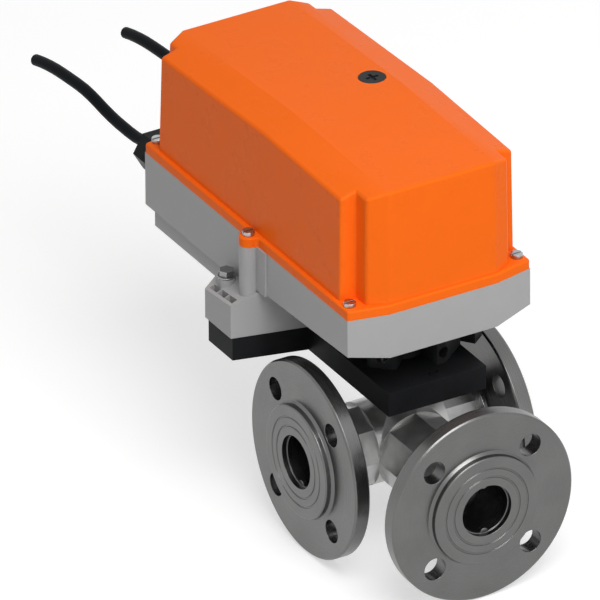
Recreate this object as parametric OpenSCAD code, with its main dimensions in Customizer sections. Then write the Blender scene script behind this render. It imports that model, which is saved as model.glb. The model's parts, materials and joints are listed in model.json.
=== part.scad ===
// Motorised three-way ball valve, DN 32, with flanged ports.
// The gasket face of the common port is centred on the origin and looks along -Y.
// The run goes along X, and the stem stands along Z at the middle of the run.

/* [Ports] */
// Distance from the stem axis to the gasket face of the common port
branch_reach = 105; // [104.5:0.5:130]
// Distance from the stem axis to the gasket face of each run port
run_reach = 66; // [65.5:0.5:90]
// Diameter of a port's bore
bore_d = 31.2; // [28:0.1:32]
// Diameter of the wider mouth of a port's bore
mouth_d = 32.4; // [32.2:0.1:34]
// Depth of the wider mouth
mouth_depth = 3.4; // [2:0.1:5]
// Radius of the two round spanner lugs inside each mouth
lug_r = 2.6; // [1.5:0.1:3.2]
// Length of the spanner lugs along the bore
lug_len = 3; // [2:0.1:5]

/* [Flanges] */
// Diameter of a flange
flange_d = 120; // [116:1:140]
// Thickness of a flange plate behind its raised face
flange_t = 10; // [8:0.5:12]
// Diameter of the raised gasket face
raise_d = 69; // [66:0.5:72]
// Height of the raised gasket face
raise_h = 5; // [3:0.5:6]
// Diameter of the bolt circle
bolt_circle_d = 90; // [88:1:94]
// Diameter of a bolt hole
bolt_hole_d = 14; // [12:0.5:15]
// Number of bolt holes in a flange
bolt_count = 4; // [4:4:8]
// Diameter of the outer gasket groove, along its middle
groove_outer_d = 54.4; // [52:0.2:58]
// Diameter of the inner gasket groove, along its middle
groove_inner_d = 43.6; // [40:0.2:46]
// Width of a gasket groove
groove_w = 1; // [0.6:0.1:2]
// Depth of a gasket groove
groove_depth = 0.6; // [0.3:0.1:1]
// Chamfer on the flange's edges
flange_edge = 1; // [0.4:0.1:1.5]
// Chamfer where a step of the flange meets its plate
root_edge = 1.5; // [0.5:0.1:2]
// Diameter of the hub behind a flange
hub_d = 44; // [42:0.5:46]
// Length of the hub behind a flange
hub_len = 7; // [5:0.5:10]
// Length of the threaded spigot that screws into the body
spigot_len = 12; // [8:0.5:12]
// Thickness of the sealing ring between a hub and the body
hub_seal_t = 0.8; // [0.5:0.1:1.5]

/* [Valve body] */
// Outside diameter of the body's rounded middle and collars
body_d = 50; // [49:0.5:52]
// Distance from the stem axis to the start of each octagonal end
collar_reach = 24; // [23:0.5:26]
// Width of an octagonal end across its corners
octagon_d = 50; // [49:0.5:50]
// Diameter of the threaded bore inside each end
thread_d = 40; // [39.5:0.1:41]
// Radial gap of a thread
thread_gap = 0.05; // [0.03:0.01:0.1]
// Diameter of the neck that carries the stem
neck_d = 26; // [24:0.5:27]
// Diameter of the mounting pad on top of the neck
pad_d = 46; // [45:0.5:48]
// Thickness of the mounting pad
pad_t = 8; // [6:0.5:9]

/* [Ball and stem] */
// Diameter of the ball
ball_d = 39; // [38.6:0.1:39]
// Diameter of the ball's angled bore
ball_bore_d = 23; // [20:0.5:23]
// Radial gap between the ball and a seat
seat_gap = 0.03; // [0.02:0.01:0.06]
// Outside diameter of a seat where it touches the ball
seat_lip_d = 29; // [28:0.2:29.4]
// Distance from the ball's centre to a seat's front
seat_front = 14.6; // [14.6:0.1:15]
// Distance from the ball's centre to the back of a seat's lip
seat_step = 20.3; // [20.2:0.1:20.8]
// Thickness of a seat's flange
seat_flange_t = 3; // [2:0.2:3.4]
// Thickness of the threaded ring that holds a seat
retainer_t = 5; // [4:0.5:6]
// Diameter of the hole in the ring that holds a seat
retainer_bore_d = 26; // [24:0.5:28]
// Width of the two spanner slots in that ring
retainer_slot_w = 4; // [2:0.5:5]
// Depth of the two spanner slots
retainer_slot_depth = 2; // [1:0.5:3]
// Diameter of the stem
stem_d = 12; // [10:0.5:12.5]
// Diameter of the stem's shoulder inside the body
shoulder_d = 16; // [15:0.5:17]
// Thickness of the stem's shoulder
shoulder_t = 2.6; // [2:0.1:3]
// Thickness of the thrust washer above the shoulder
washer_t = 1; // [0.8:0.1:1.4]
// Width of the tang that turns the ball
tang_w = 6; // [5:0.5:7]
// Length of the tang that turns the ball
tang_len = 15; // [12:0.5:15.5]
// Depth of the slot for the tang in the ball
tang_depth = 4; // [3:0.5:5]
// Gap on each side of the tang
tang_gap = 0.1; // [0.05:0.05:0.2]
// Running gap round the stem and the other turning shafts
shaft_gap = 0.06; // [0.03:0.01:0.09]
// Diameter of the packing chamber
packing_d = 20; // [18:0.5:21]
// Height of the packing's underside above the port axis
packing_base = 30; // [28:0.5:31]
// Thickness of the packing
packing_t = 6; // [4:0.5:7]
// Thickness of the gland nut's threaded part
gland_thread_t = 7; // [5:0.5:9]
// Width of the gland nut across its flats
gland_flats = 16; // [15:0.5:19]
// Thickness of the gland nut's head
gland_head_t = 3.5; // [2:0.5:4]
// Width of the square on top of the stem
stem_square_w = 9; // [8:0.1:9]

/* [Bracket plate] */
// Height of the plate's underside above the port axis
plate_base_h = 44.2; // [44:0.1:48]
// Thickness of the plate
plate_t = 15.2; // [12:0.2:18]
// Width of the plate
plate_w = 65; // [64:0.5:70]
// Distance from the stem axis to the plate's front
plate_front = 49.3; // [46:0.1:52]
// Distance from the stem axis to the start of the side arm
arm_start = 42.4; // [40:0.1:46]
// Distance from the stem axis to the plate's back
plate_back = 81.3; // [80:0.1:84]
// Distance from the stem axis to the end of the side arm
arm_reach = 76.6; // [75:0.1:80]
// How far back the arm's front edge slants along its length
arm_slant = 11.2; // [8:0.1:13]
// Diameter of the hole round the stem
stem_hole_d = 26; // [25:0.5:28]
// Diameter of the two small holes in the plate's front
pin_hole_d = 2.4; // [1:0.1:3]
// Distance between the two small holes
pin_hole_pitch = 4.2; // [3.5:0.1:6]
// Distance from the stem axis to the two small holes
pin_hole_reach = 40; // [38:0.1:42]
// Depth of the two small holes
pin_hole_depth = 6; // [2:0.5:8]
// Bolt circle of the mounting pad
pad_bolt_circle_d = 36; // [35.5:0.1:36]
// Thread diameter of the pad's and the adapter's screws
small_screw_d = 5; // [4:0.1:5.2]
// Thickness of the small screws' heads
small_head_t = 3.5; // [3:0.1:4]
// Width of the pad bolts' heads across their flats
pad_head_flats = 8; // [7:0.1:8.2]
// Length of a pad bolt below its head
pad_bolt_len = 18; // [14:0.5:20]
// Radial gap round a screw in its clearance hole
screw_gap = 0.25; // [0.1:0.05:0.3]

/* [Adapter] */
// Height of the lobed adapter between the plate and the housing
adapter_h = 28.6; // [27:0.2:32]
// Diameter of the adapter's middle
adapter_core_d = 39; // [38:0.5:44]
// Distance from the stem axis to the face of a plain lobe
lobe_reach = 30.3; // [29.5:0.1:32]
// Width of a plain lobe
lobe_w = 18.5; // [16:0.5:20]
// Distance from the stem axis to the flat front of the front lobe
front_lobe_reach = 34; // [33:0.2:36]
// Distance from the stem axis to the front lobe's left side
front_lobe_side = 7; // [5:0.5:8]
// Width of the flat at the front lobe's tip
front_lobe_flat = 7.5; // [6:0.5:9]
// Length of the front lobe's slanted face
front_lobe_slant = 22.7; // [18:0.5:24]
// Distance from the stem axis to the end of the long lobe
long_lobe_reach = 43.5; // [40:0.5:46]
// Width of the long lobe
long_lobe_w = 10.5; // [8:0.5:12]
// Distance of the long lobe from the middle of the front lobe
long_lobe_offset = 16.7; // [14:0.1:18]
// Radius of the lobes' corners
lobe_corner_r = 3.5; // [2:0.5:4]
// Diameter of the side holes in the lobes
lobe_hole_d = 7; // [5:0.5:8]
// Depth of the side holes in the lobes
lobe_hole_depth = 8; // [5:0.5:10]
// Height of the side holes above the plate
lobe_hole_h = 6.8; // [5:0.1:9]
// Bolt circle of the screws that hold the adapter to the plate
adapter_bolt_circle_d = 50; // [48:0.5:52]
// Length of an adapter screw below its head
adapter_screw_len = 20; // [16:0.5:24]
// Diameter of an adapter screw's head
adapter_head_d = 8.5; // [7.5:0.1:9]
// Outside diameter of the drive coupling
coupling_d = 22; // [21:0.5:24]
// Height of the drive coupling's underside above the port axis
coupling_base = 50; // [49:0.5:52]
// Length of the drive coupling
coupling_len = 30; // [28:0.5:32]
// Length of each square socket in the coupling
socket_len = 12; // [10:0.5:13]
// Gap on each side of a square in its socket
square_gap = 0.08; // [0.05:0.01:0.15]

/* [Housing] */
// Width of the housing and of the hood's rim
house_w = 121.6; // [119:0.2:124]
// Distance from the stem axis to the housing's front
front_reach = 56.8; // [56:0.2:60]
// Distance from the stem axis to the housing's back
back_reach = 186.5; // [186:0.5:200]
// How far the slanted end facets step back at the corners
corner_drop = 5.5; // [4:0.5:7]
// Width of the straight middle of both ends
centre_w = 71.4; // [68:0.2:76]
// Height of the housing from its underside to its rim
house_depth = 28.5; // [27:0.5:32]
// How far the underside rises towards the sides
side_rise = 5; // [3:0.5:6]
// Distance from the stem axis to the front of the deep part
belly_front = 60; // [59:0.5:64]
// Distance from the stem axis to the back of the deep part
belly_back = 175; // [172:0.5:177]
// Width of the deep part
belly_w = 116; // [112:0.5:117]
// How far the deep part hangs below the front underside
belly_drop = 18.2; // [17:0.1:20]
// How far the back side walls hang below the front underside
back_wall_drop = 6; // [4:0.5:8]
// Thickness of the housing's walls
house_wall = 4; // [3:0.1:4.2]
// Radius of the round columns for the side cover screws
column_r = 5.8; // [5.5:0.1:6.6]
// Distance from the middle to each side column
column_reach = 63.4; // [62.6:0.2:66]
// Distance from the stem axis to the side columns
column_y = 57; // [55:0.5:60]
// Distance from the middle to each front cover screw
corner_screw_x = 55.5; // [54:0.1:55.6]
// Distance from the stem axis to the front cover screws
front_screw_y = 45; // [44:0.5:46]
// Distance from the middle to each back cover screw
back_screw_x = 53.5; // [53.2:0.1:54]
// Distance from the stem axis to the back cover screws
back_screw_y = 178.4; // [178:0.1:178.5]
// Distance from the stem axis to the inner face of the back wall
back_wall_y = 176; // [175:0.2:176.4]
// Radius of the posts for the corner cover screws
post_r = 4.8; // [4.5:0.1:5]
// Width of the gasket in the housing's rim
gasket_w = 1; // [0.8:0.1:1.1]
// Distance from the rim's outer edge to the gasket
gasket_inset = 0.9; // [0.8:0.05:1]
// Depth of the gasket's groove
gasket_t = 1.5; // [1:0.1:2]

/* [Side ear] */
// Height of the ear's front corner above the plate
ear_h = 21.4; // [18:0.2:24]
// Distance from the middle to the ear's outer face
ear_reach = 78; // [77:0.5:82]
// Distance from the stem axis to the ear's back corner
ear_back = 82.6; // [81.5:0.1:84]
// Distance from the stem axis to the ear's front corner
ear_front = 53; // [51:0.5:54]
// Rise of the ear's top to the housing
ear_rise = 6; // [4:0.5:7]
// Fall of the ear's top to its back
ear_fall = 2.4; // [1:0.1:4]
// How far the ear's back edge slants back towards the housing
ear_back_slant = 9; // [6:0.5:10]
// Thickness of the pad on the side wall in front of the column
side_pad_t = 1.2; // [0.8:0.1:1.6]
// Length of that pad
side_pad_len = 16; // [12:0.5:20]
// Distance from the middle to the ear's inner bottom corner
ear_foot_x = 33; // [30:0.5:36]
// Length of the slot pocket in the ear's top
pocket_len = 26; // [20:0.5:26.5]
// Width of the slot pocket
pocket_w = 3.6; // [3:0.2:4.2]
// Depth of the slot pocket
pocket_depth = 8; // [4:0.5:12]
// Distance from the middle to the ear's bolt
ear_bolt_x = 67.2; // [66.8:0.1:67.4]
// Distance from the stem axis to the ear's bolt
ear_bolt_y = 76.2; // [75.8:0.1:76.4]
// Radius of the round boss under the bolt's washer
ear_boss_r = 5.4; // [5:0.1:5.6]
// Height of that boss
ear_boss_h = 3.7; // [3:0.1:5]
// Width of the ear bolt's head across its flats
ear_head_flats = 8; // [8:0.1:9]
// Thickness of the ear bolt's head
ear_head_t = 3.6; // [3.5:0.1:5.5]
// Thickness of the ear bolt's washer
ear_washer_t = 1.2; // [1:0.1:1.6]
// Thread diameter of the ear bolt
ear_bolt_d = 5; // [4.5:0.1:5.2]
// Length of the ear bolt below its head
ear_bolt_len = 36; // [34:0.5:38]

/* [Hood] */
// Thickness of the hood's rim
rim_t = 6; // [5:0.5:8]
// Thickness of the hood's walls
hood_wall = 3; // [2:0.1:3.4]
// Width of the hood at its foot
hood_foot_w = 116; // [114:0.2:116]
// Distance from the stem axis to the hood's front at its foot
hood_front = 55; // [54:0.2:55.4]
// Distance from the stem axis to the hood's back at its foot
hood_back = 183.5; // [182:0.2:184.5]
// How far the hood's slanted end facets step back
hood_facet_drop = 5; // [3:0.2:5.6]
// Depth of the corner notches across the hood
notch_w = 10.3; // [9.5:0.1:11]
// Depth of the front corner notches along the hood
front_notch = 12; // [12:0.1:14]
// Depth of the back corner notches along the hood
back_notch = 8; // [7.8:0.1:9]
// Height of the hood's front edge above its rim
hood_front_h = 72.3; // [66:0.1:76]
// Height of the hood's ridge above its rim
hood_ridge_h = 74.4; // [72:0.1:82]
// Height of the hood's back edge above its rim
hood_back_h = 67.7; // [62:0.1:72]
// How far the roof falls from its middle strip to its sides
roof_fall = 6.7; // [3:0.1:8]
// Distance from the stem axis to the roof's ridge
ridge_y = 52; // [40:1:70]
// Share of its width that the hood keeps at its top
taper_x_share = 0.983; // [0.97:0.001:0.99]
// Share of its length that the hood keeps at its top
taper_y_share = 0.985; // [0.96:0.001:0.99]
// Diameter of the plug in the roof
plug_d = 16; // [14:0.2:17]
// Thickness of the plug's cap
plug_cap_t = 2.6; // [2:0.1:3]
// Diameter of the plug's spigot
plug_spigot_d = 11.6; // [10:0.1:12]
// Length of the plug's spigot
plug_spigot_len = 6; // [5:0.5:7]
// Width of the two slots of the plug's cross
plug_slot_w = 2; // [1.5:0.1:3]
// Length of the two slots of the plug's cross
plug_slot_len = 8; // [5:0.2:9]
// Depth of the plug's cross
plug_slot_depth = 1.2; // [0.8:0.1:1.6]
// Thread diameter of the cover screws
cover_screw_d = 4; // [3.5:0.1:4.2]
// Diameter of the cover screws' heads
cover_head_d = 7.4; // [6.8:0.1:7.6]
// Thickness of the cover screws' heads
cover_head_t = 2.6; // [2.2:0.1:3]
// Length of a cover screw below its head
cover_screw_len = 24; // [18:0.5:26]
// Width of the slot in a screw head
slot_w = 1; // [0.8:0.1:1.2]
// Depth of the slot in a screw head
slot_depth = 1.1; // [0.8:0.1:1.4]

/* [Gearbox] */
// Size of the gear teeth, pitch diameter over tooth count
tooth_m = 1; // [0.98:0.01:1.02]
// Teeth of the output gear
output_teeth = 72; // [70:1:74]
// Teeth of the second gear's pinion
second_pinion_teeth = 18; // [17:1:19]
// Teeth of the second gear's wheel
second_wheel_teeth = 54; // [52:1:56]
// Teeth of the first gear's pinion
first_pinion_teeth = 18; // [17:1:19]
// Teeth of the first gear's wheel
first_wheel_teeth = 36; // [34:1:38]
// Teeth of the motor pinion
motor_teeth = 12; // [11:1:13]
// Teeth of the hand-drive pinion
hand_teeth = 12; // [11:1:13]
// Distance of the hand-drive shaft from the middle
hand_x = 25; // [24:0.5:26]
// Thickness of the gear plate
gear_plate_t = 2.5; // [2:0.1:3]
// Width of the gear plate
gear_plate_w = 94; // [92:0.5:96]
// Distance from the stem axis to the gear plate's front
gear_plate_front = 46; // [44:0.5:47]
// Distance from the stem axis to the gear plate's back
gear_plate_back = 130; // [129:0.5:132]
// Height of the output gear above the gear plate
low_gear_h = 1.5; // [1:0.1:2]
// Thickness of the output gear
output_t = 8; // [7:0.5:8.5]
// Height of the second gear's wheel above the gear plate
high_gear_h = 11.5; // [11:0.1:12]
// Thickness of the second gear's wheel
wheel_t = 4; // [3:0.1:5]
// Height of the top plate above the gear plate
top_plate_h = 17.5; // [17:0.1:19]
// Diameter of the output shaft
output_shaft_d = 16; // [15.4:0.2:16]
// Diameter of the output shaft's upper end
output_top_d = 10; // [8:0.5:11]
// Width of the square at the foot of the output shaft
output_square_w = 11; // [10:0.1:11]
// Diameter of the pins that the two middle gears turn on
axle_d = 6; // [5:0.1:6.5]
// Diameter of the hand-drive shaft
hand_shaft_d = 8; // [7:0.1:8.4]
// Height of the hand-drive shaft above the gear plate
hand_shaft_len = 70; // [30:0.5:90]
// Width of the hexagon socket in the hand-drive shaft
hand_socket_w = 5; // [4:0.1:5.2]
// Outside diameter of the output shaft's bush
bush_d = 22; // [21:0.5:24]
// Diameter of the bush's flange
bush_flange_d = 26; // [25:0.5:28]
// Diameter of the end-stop pin
stop_d = 6; // [5:0.2:7]
// Distance from the stem axis to the end-stop pin
stop_reach = 24; // [22:0.5:25]
// Height of the end-stop pin above the gear plate
stop_h = 8; // [6:0.5:9]
// Gap round the end-stop pin in its slot
stop_gap = 0.3; // [0.25:0.05:0.4]
// Diameter of the motor
motor_d = 40; // [38:0.5:41]
// Thickness of the motor
motor_t = 16; // [14:0.5:17]
// Diameter of the motor's shaft
motor_shaft_d = 5; // [4:0.1:5.2]
// Length of the motor's shaft inside the motor
motor_shaft_len = 12; // [10:0.5:13]
// Thread diameter of the gearbox screws
gear_screw_d = 3; // [2.5:0.1:3.2]
// Diameter of the gearbox screws' heads
gear_head_d = 5.6; // [5:0.1:5.8]
// Thickness of the gearbox screws' heads
gear_head_t = 1.8; // [1.4:0.1:2]
// Diameter of the pillars under the top plate
pillar_d = 8; // [7:0.1:9]

/* [Electrics] */
// Height of the circuit board above the gear plate
board_h = 29.5; // [28:0.5:34]
// Width of the circuit board
board_w = 88; // [84:0.5:92]
// Distance from the stem axis to the circuit board's front
board_front = 98; // [97:0.5:99]
// Gap between the circuit board's back and the hood's back corners
board_gap = 0.5; // [0.4:0.1:4]
// Thickness of the circuit board
board_t = 1.6; // [1.2:0.1:2]
// Width of the terminal block
terminal_w = 78; // [60:1:80]
// Depth of the terminal block
terminal_d = 12; // [10:0.5:14]
// Height of the terminal block
terminal_h = 11; // [9:0.5:13]
// Number of ways in the terminal block
terminal_ways = 12; // [8:1:14]
// Diameter of a capacitor
capacitor_d = 16; // [14:0.5:18]
// Height of a capacitor
capacitor_h = 26; // [20:0.5:30]
// Width of the transformer
transformer_w = 30; // [26:0.5:32]
// Height of the transformer
transformer_h = 22; // [18:0.5:26]

/* [Cable glands and cables] */
// Distance from the middle to the left cable
cable_x = 43; // [42:0.5:43]
// Distance between the two cables
cable_pitch = 61.4; // [60:0.2:62]
// How much further back the right gland sits than the left one
gland_step = 1.6; // [0:0.1:1.8]
// Height of the cables above the underside of the housing's front
cable_rise = 15.6; // [14:0.1:16]
// Diameter of a cable
cable_d = 7; // [6:0.1:7.4]
// Width of a gland's nuts across their flats
gland_nut_flats = 23; // [22:0.5:23.5]
// Thickness of the hexagon on the gland's body
gland_hex_t = 5; // [4:0.2:6]
// Thickness of the gland's dome nut
dome_nut_t = 10; // [9:0.2:11]
// Length of the gland's tapered nose
nose_len = 2.6; // [2:0.2:4]
// Diameter of the gland's thread
gland_thread_d = 16; // [15:0.5:16]
// Outside diameter of the thread for the gland's dome nut
gland_neck_d = 18; // [17:0.5:19]
// Width of the gland's lock nut across its flats
lock_nut_flats = 19; // [18.5:0.5:21]
// Thickness of the gland's lock nut
lock_nut_t = 4; // [3:0.2:5]
// Depth of the flat seats behind the glands
gland_seat_t = 1.5; // [1:0.1:2]
// Length of each cable's stretch inside the housing
inner_cable_len = 30; // [25:0.5:40]

/* [Hidden] */
$fn = 64;

// Overrun of a cut past the faces that it opens
over = 1;
// Gap between soft or flat pieces of different moving bodies
body_gap = 0.3;
// Gap between a pressed piece and its seat in one body
fit_gap = 0.02;

// Radii
bore_r = bore_d / 2;
mouth_r = mouth_d / 2;
flange_r = flange_d / 2;
raise_r = raise_d / 2;
hub_r = hub_d / 2;
thread_r = thread_d / 2;
body_r = body_d / 2;
ball_r = ball_d / 2;
ball_bore_r = ball_bore_d / 2;
stem_r = stem_d / 2;
packing_r = packing_d / 2;
small_screw_r = small_screw_d / 2;
plug_r = plug_d / 2;
cable_r = cable_d / 2;

// Distances from the gasket face back to the body's end
hub_back = raise_h + flange_t + hub_len;
run_end = run_reach - hub_back;
branch_end = branch_reach - hub_back;

// Heights above the port axis
plate_top = plate_base_h + plate_t;
house_floor = plate_top + adapter_h;
rim_h = house_floor + house_depth;
rim_top = rim_h + rim_t;
belly_floor = house_floor - belly_drop;
back_floor = house_floor - back_wall_drop;
gear_plate_h = house_floor + house_wall;
gear_plate_top = gear_plate_h + gear_plate_t;
low_gear_z = gear_plate_top + low_gear_h;
high_gear_z = gear_plate_top + high_gear_h;
top_plate_z = gear_plate_top + top_plate_h;
stem_top = coupling_base + socket_len;
output_foot = coupling_base + coupling_len - socket_len;
ear_top = plate_top + ear_h;
upper_floor = house_floor + side_rise + house_wall;
board_z = gear_plate_top + board_h;
board_len = hood_back - back_notch - hood_wall - board_gap - board_front;

// Gear centres along the middle of the gearbox
second_y = tooth_m * (output_teeth + second_pinion_teeth) / 2;
first_y = second_y + tooth_m * (second_wheel_teeth + first_pinion_teeth) / 2;
motor_y = first_y + tooth_m * (first_wheel_teeth + motor_teeth) / 2;
hand_distance = tooth_m * (second_wheel_teeth + hand_teeth) / 2;
hand_y = second_y + sqrt(hand_distance * hand_distance - hand_x * hand_x);
hand_angle = atan2(hand_y - second_y, hand_x);

// Flank of a tooth: pressure angle, backlash and tooth height as shares of the tooth size
pressure_angle = 20;
backlash_share = 0.1;
addendum_share = 0.9;
dedendum_share = 1.25;

// Side walls of the hood
hood_half = hood_foot_w / 2;
house_half = house_w / 2;
centre_half = centre_w / 2;
ear_boss_top = ear_z(-ear_bolt_x, ear_bolt_y) + ear_boss_h;
notch_x = hood_half - notch_w;
taper_h = max(hood_front_h, hood_ridge_h, hood_back_h) + over;

// Lengths of a gland's seal and of its dome nut's thread, as shares of the dome nut
seal_share = 0.7;
nut_bore_share = 0.75;

// Back ends of the glands and cables
gland_seat_y = back_reach + gland_seat_t;
gland_hex_y = gland_seat_y + gland_hex_t;
gland_face_y = gland_hex_y + dome_nut_t + nose_len;
cable_xs = [-cable_x, cable_pitch - cable_x];
cable_h = house_floor + cable_rise;

// Route of a cable from its gland's mouth: across, back and up, in millimetres
cable_route = [
  [0, 0, 0], [0, 5, 0], [0, 11, -1.2], [0, 17, -2.2], [0, 25, -2.6], [0, 38, -2.6], [0, 46, -2.2],
  [0, 54, -1.4], [0, 62, -0.3], [0, 69, 0.5], [0, 77, 0.9], [0, 85, 0.6], [0, 94, -0.1],
  [0, 103, -0.9], [0, 111, -1.8], [0, 119, -3.1], [0, 127, -4.8], [0, 134, -6.7]
];
cable_sides = 12;

// The stem axis stands this far behind the common port's face
module about_stem() {
  translate([0, branch_reach, 0]) children();
}

// Turn a piece drawn along +Z to look out of a port, with its +X side up or down
module out_a() {
  about_stem() rotate([0, -90, 0]) children();
}
module out_b() {
  about_stem() rotate([0, 90, 0]) children();
}
module out_ab() {
  about_stem() rotate([90, 0, 0]) rotate([0, 0, 90]) children();
}

// A ring or tube standing on the XY plane
module tube(outer_r, inner_r, height) {
  difference() {
    cylinder(r = outer_r, h = height);
    translate([0, 0, -over]) cylinder(r = inner_r, h = height + 2 * over);
  }
}

// A hexagonal prism by its width across flats
module hexagon(flats, height) {
  cylinder(r = flats / sqrt(3), h = height, $fn = 6);
}

// A bar with a square section
module square_bar(width, height) {
  translate([-width / 2, -width / 2, 0]) cube([width, width, height]);
}

// A pan-head screw with a slot, its head's underside at the origin and its shank below
module slot_screw(thread, head, head_t, length) {
  difference() {
    union() {
      cylinder(d = head, h = head_t);
      translate([0, 0, -length]) cylinder(d = thread, h = length);
    }
    translate([-head / 2 - over, -slot_w / 2, head_t - slot_depth])
      cube([head + 2 * over, slot_w, slot_depth + over]);
  }
}

// Flanges and what seals them

module flange(reach) {
  face = reach;
  plate_face = reach - raise_h;
  plate_rear = plate_face - flange_t;
  end = reach - hub_back;
  spigot_r = thread_r - thread_gap;
  color("silver") {
    difference() {
      rotate_extrude() polygon([
        [bore_r, end - spigot_len],
        [spigot_r, end - spigot_len],
        [spigot_r, end + hub_seal_t],
        [hub_r, end + hub_seal_t],
        [hub_r, plate_rear - root_edge],
        [hub_r + root_edge, plate_rear],
        [flange_r - flange_edge, plate_rear],
        [flange_r, plate_rear + flange_edge],
        [flange_r, plate_face - flange_edge],
        [flange_r - flange_edge, plate_face],
        [raise_r + root_edge, plate_face],
        [raise_r, plate_face + root_edge],
        [raise_r, face - groove_depth],
        [raise_r - groove_depth, face],
        [mouth_r, face],
        [mouth_r, face - mouth_depth],
        [bore_r, face - mouth_depth]
      ]);
      for (i = [0 : bolt_count - 1])
        rotate([0, 0, (i + 0.5) * 360 / bolt_count])
          translate([bolt_circle_d / 2, 0, plate_rear - over])
            cylinder(d = bolt_hole_d, h = flange_t + 2 * over);
      for (d = [groove_outer_d, groove_inner_d])
        translate([0, 0, face - groove_depth])
          tube((d + groove_w) / 2, (d - groove_w) / 2, groove_depth + over);
    }
    for (side = [-1, 1])
      translate([side * bore_r, 0, face - mouth_depth - lug_len])
        cylinder(r = lug_r, h = lug_len);
  }
}
module flange_a() out_a() flange(run_reach);
module flange_b() out_b() flange(run_reach);
module flange_ab() out_ab() flange(branch_reach);

module hub_seal(end) {
  color("dimgray") translate([0, 0, end]) tube(hub_r, thread_r, hub_seal_t);
}
module hub_seal_a() out_a() hub_seal(run_end);
module hub_seal_b() out_b() hub_seal(run_end);
module hub_seal_ab() out_ab() hub_seal(branch_end);

// Seats and the rings that hold them

module seat() {
  color("white") difference() {
    rotate_extrude() polygon([
      [ball_bore_r, seat_front],
      [seat_lip_d / 2, seat_front],
      [seat_lip_d / 2, seat_step],
      [thread_r - thread_gap, seat_step],
      [thread_r - thread_gap, seat_step + seat_flange_t],
      [ball_bore_r, seat_step + seat_flange_t]
    ]);
    sphere(r = ball_r + seat_gap);
  }
}
module seat_a() out_a() seat();
module seat_b() out_b() seat();
module seat_ab() out_ab() seat();

module seat_retainer() {
  color("silver") translate([0, 0, seat_step + seat_flange_t]) difference() {
    tube(thread_r - thread_gap, retainer_bore_d / 2, retainer_t);
    translate([-retainer_slot_w / 2, -thread_r - over, retainer_t - retainer_slot_depth])
      cube([retainer_slot_w, thread_d + 2 * over, retainer_slot_depth + over]);
  }
}
module seat_retainer_a() out_a() seat_retainer();
module seat_retainer_b() out_b() seat_retainer();
module seat_retainer_ab() out_ab() seat_retainer();

// Body of the valve

// One end of the body: a round collar, then an octagon with its corners at the diagonals
module body_end(end) {
  cylinder(r = body_r, h = collar_reach);
  cylinder(d = octagon_d, h = end, $fn = 8);
}

module valve_body() {
  pad_base = plate_base_h - pad_t;
  shoulder_roof = ball_r + fit_gap + shoulder_t + washer_t;
  color("silver") about_stem() difference() {
    union() {
      sphere(r = body_r);
      rotate([0, -90, 0]) body_end(run_end);
      rotate([0, 90, 0]) body_end(run_end);
      rotate([90, 0, 0]) body_end(branch_end);
      cylinder(d = neck_d, h = plate_base_h);
      translate([0, 0, pad_base]) cylinder(d = pad_d, h = pad_t);
    }
    sphere(r = thread_r);
    translate([-run_reach, 0, 0]) rotate([0, 90, 0]) cylinder(r = thread_r, h = 2 * run_reach);
    rotate([90, 0, 0]) cylinder(r = thread_r, h = branch_reach);
    cylinder(d = shoulder_d + 2 * body_gap, h = shoulder_roof);
    cylinder(r = stem_r + shaft_gap, h = plate_base_h + over);
    translate([0, 0, packing_base]) cylinder(r = packing_r, h = plate_base_h);
    for (angle = [0 : 90 : 270])
      rotate([0, 0, angle]) translate([pad_bolt_circle_d / 2, 0, pad_base - over])
        cylinder(r = small_screw_r + screw_gap, h = pad_t + 2 * over);
  }
}

// Ball, stem and their seals

module ball() {
  slot_base = ball_r - tang_depth;
  color("gainsboro") about_stem() difference() {
    sphere(r = ball_r);
    rotate([0, -90, 0]) cylinder(r = ball_bore_r, h = ball_d);
    rotate([90, 0, 0]) cylinder(r = ball_bore_r, h = ball_d);
    sphere(r = ball_bore_r);
    translate([-tang_w / 2 - tang_gap, -ball_r, slot_base])
      cube([tang_w + 2 * tang_gap, ball_d, tang_depth + over]);
  }
}

module stem() {
  shoulder_z = ball_r + fit_gap;
  tang_z = ball_r - tang_depth + tang_gap;
  color("silver") about_stem() union() {
    translate([-tang_w / 2, -tang_len / 2, tang_z])
      cube([tang_w, tang_len, shoulder_z - tang_z + fit_gap]);
    translate([0, 0, shoulder_z]) cylinder(d = shoulder_d, h = shoulder_t);
    translate([0, 0, shoulder_z]) cylinder(r = stem_r, h = coupling_base - shoulder_z);
    translate([0, 0, coupling_base - shoulder_t]) intersection() {
      square_bar(stem_square_w, socket_len + shoulder_t);
      cylinder(r = stem_r, h = socket_len + shoulder_t);
    }
  }
}

module stem_thrust_washer() {
  color("white") about_stem() translate([0, 0, ball_r + fit_gap + shoulder_t])
    tube(shoulder_d / 2, stem_r + shaft_gap, washer_t);
}

module stem_packing() {
  color("white") about_stem() translate([0, 0, packing_base])
    tube(packing_r, stem_r + shaft_gap, packing_t);
}

module packing_gland_nut() {
  thread_z = packing_base + packing_t;
  color("silver") about_stem() difference() {
    union() {
      translate([0, 0, thread_z]) cylinder(r = packing_r - thread_gap, h = gland_thread_t);
      translate([0, 0, thread_z + gland_thread_t]) hexagon(gland_flats, gland_head_t);
    }
    cylinder(r = stem_r + shaft_gap, h = plate_top);
  }
}

// Bracket plate, adapter and coupling

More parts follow.
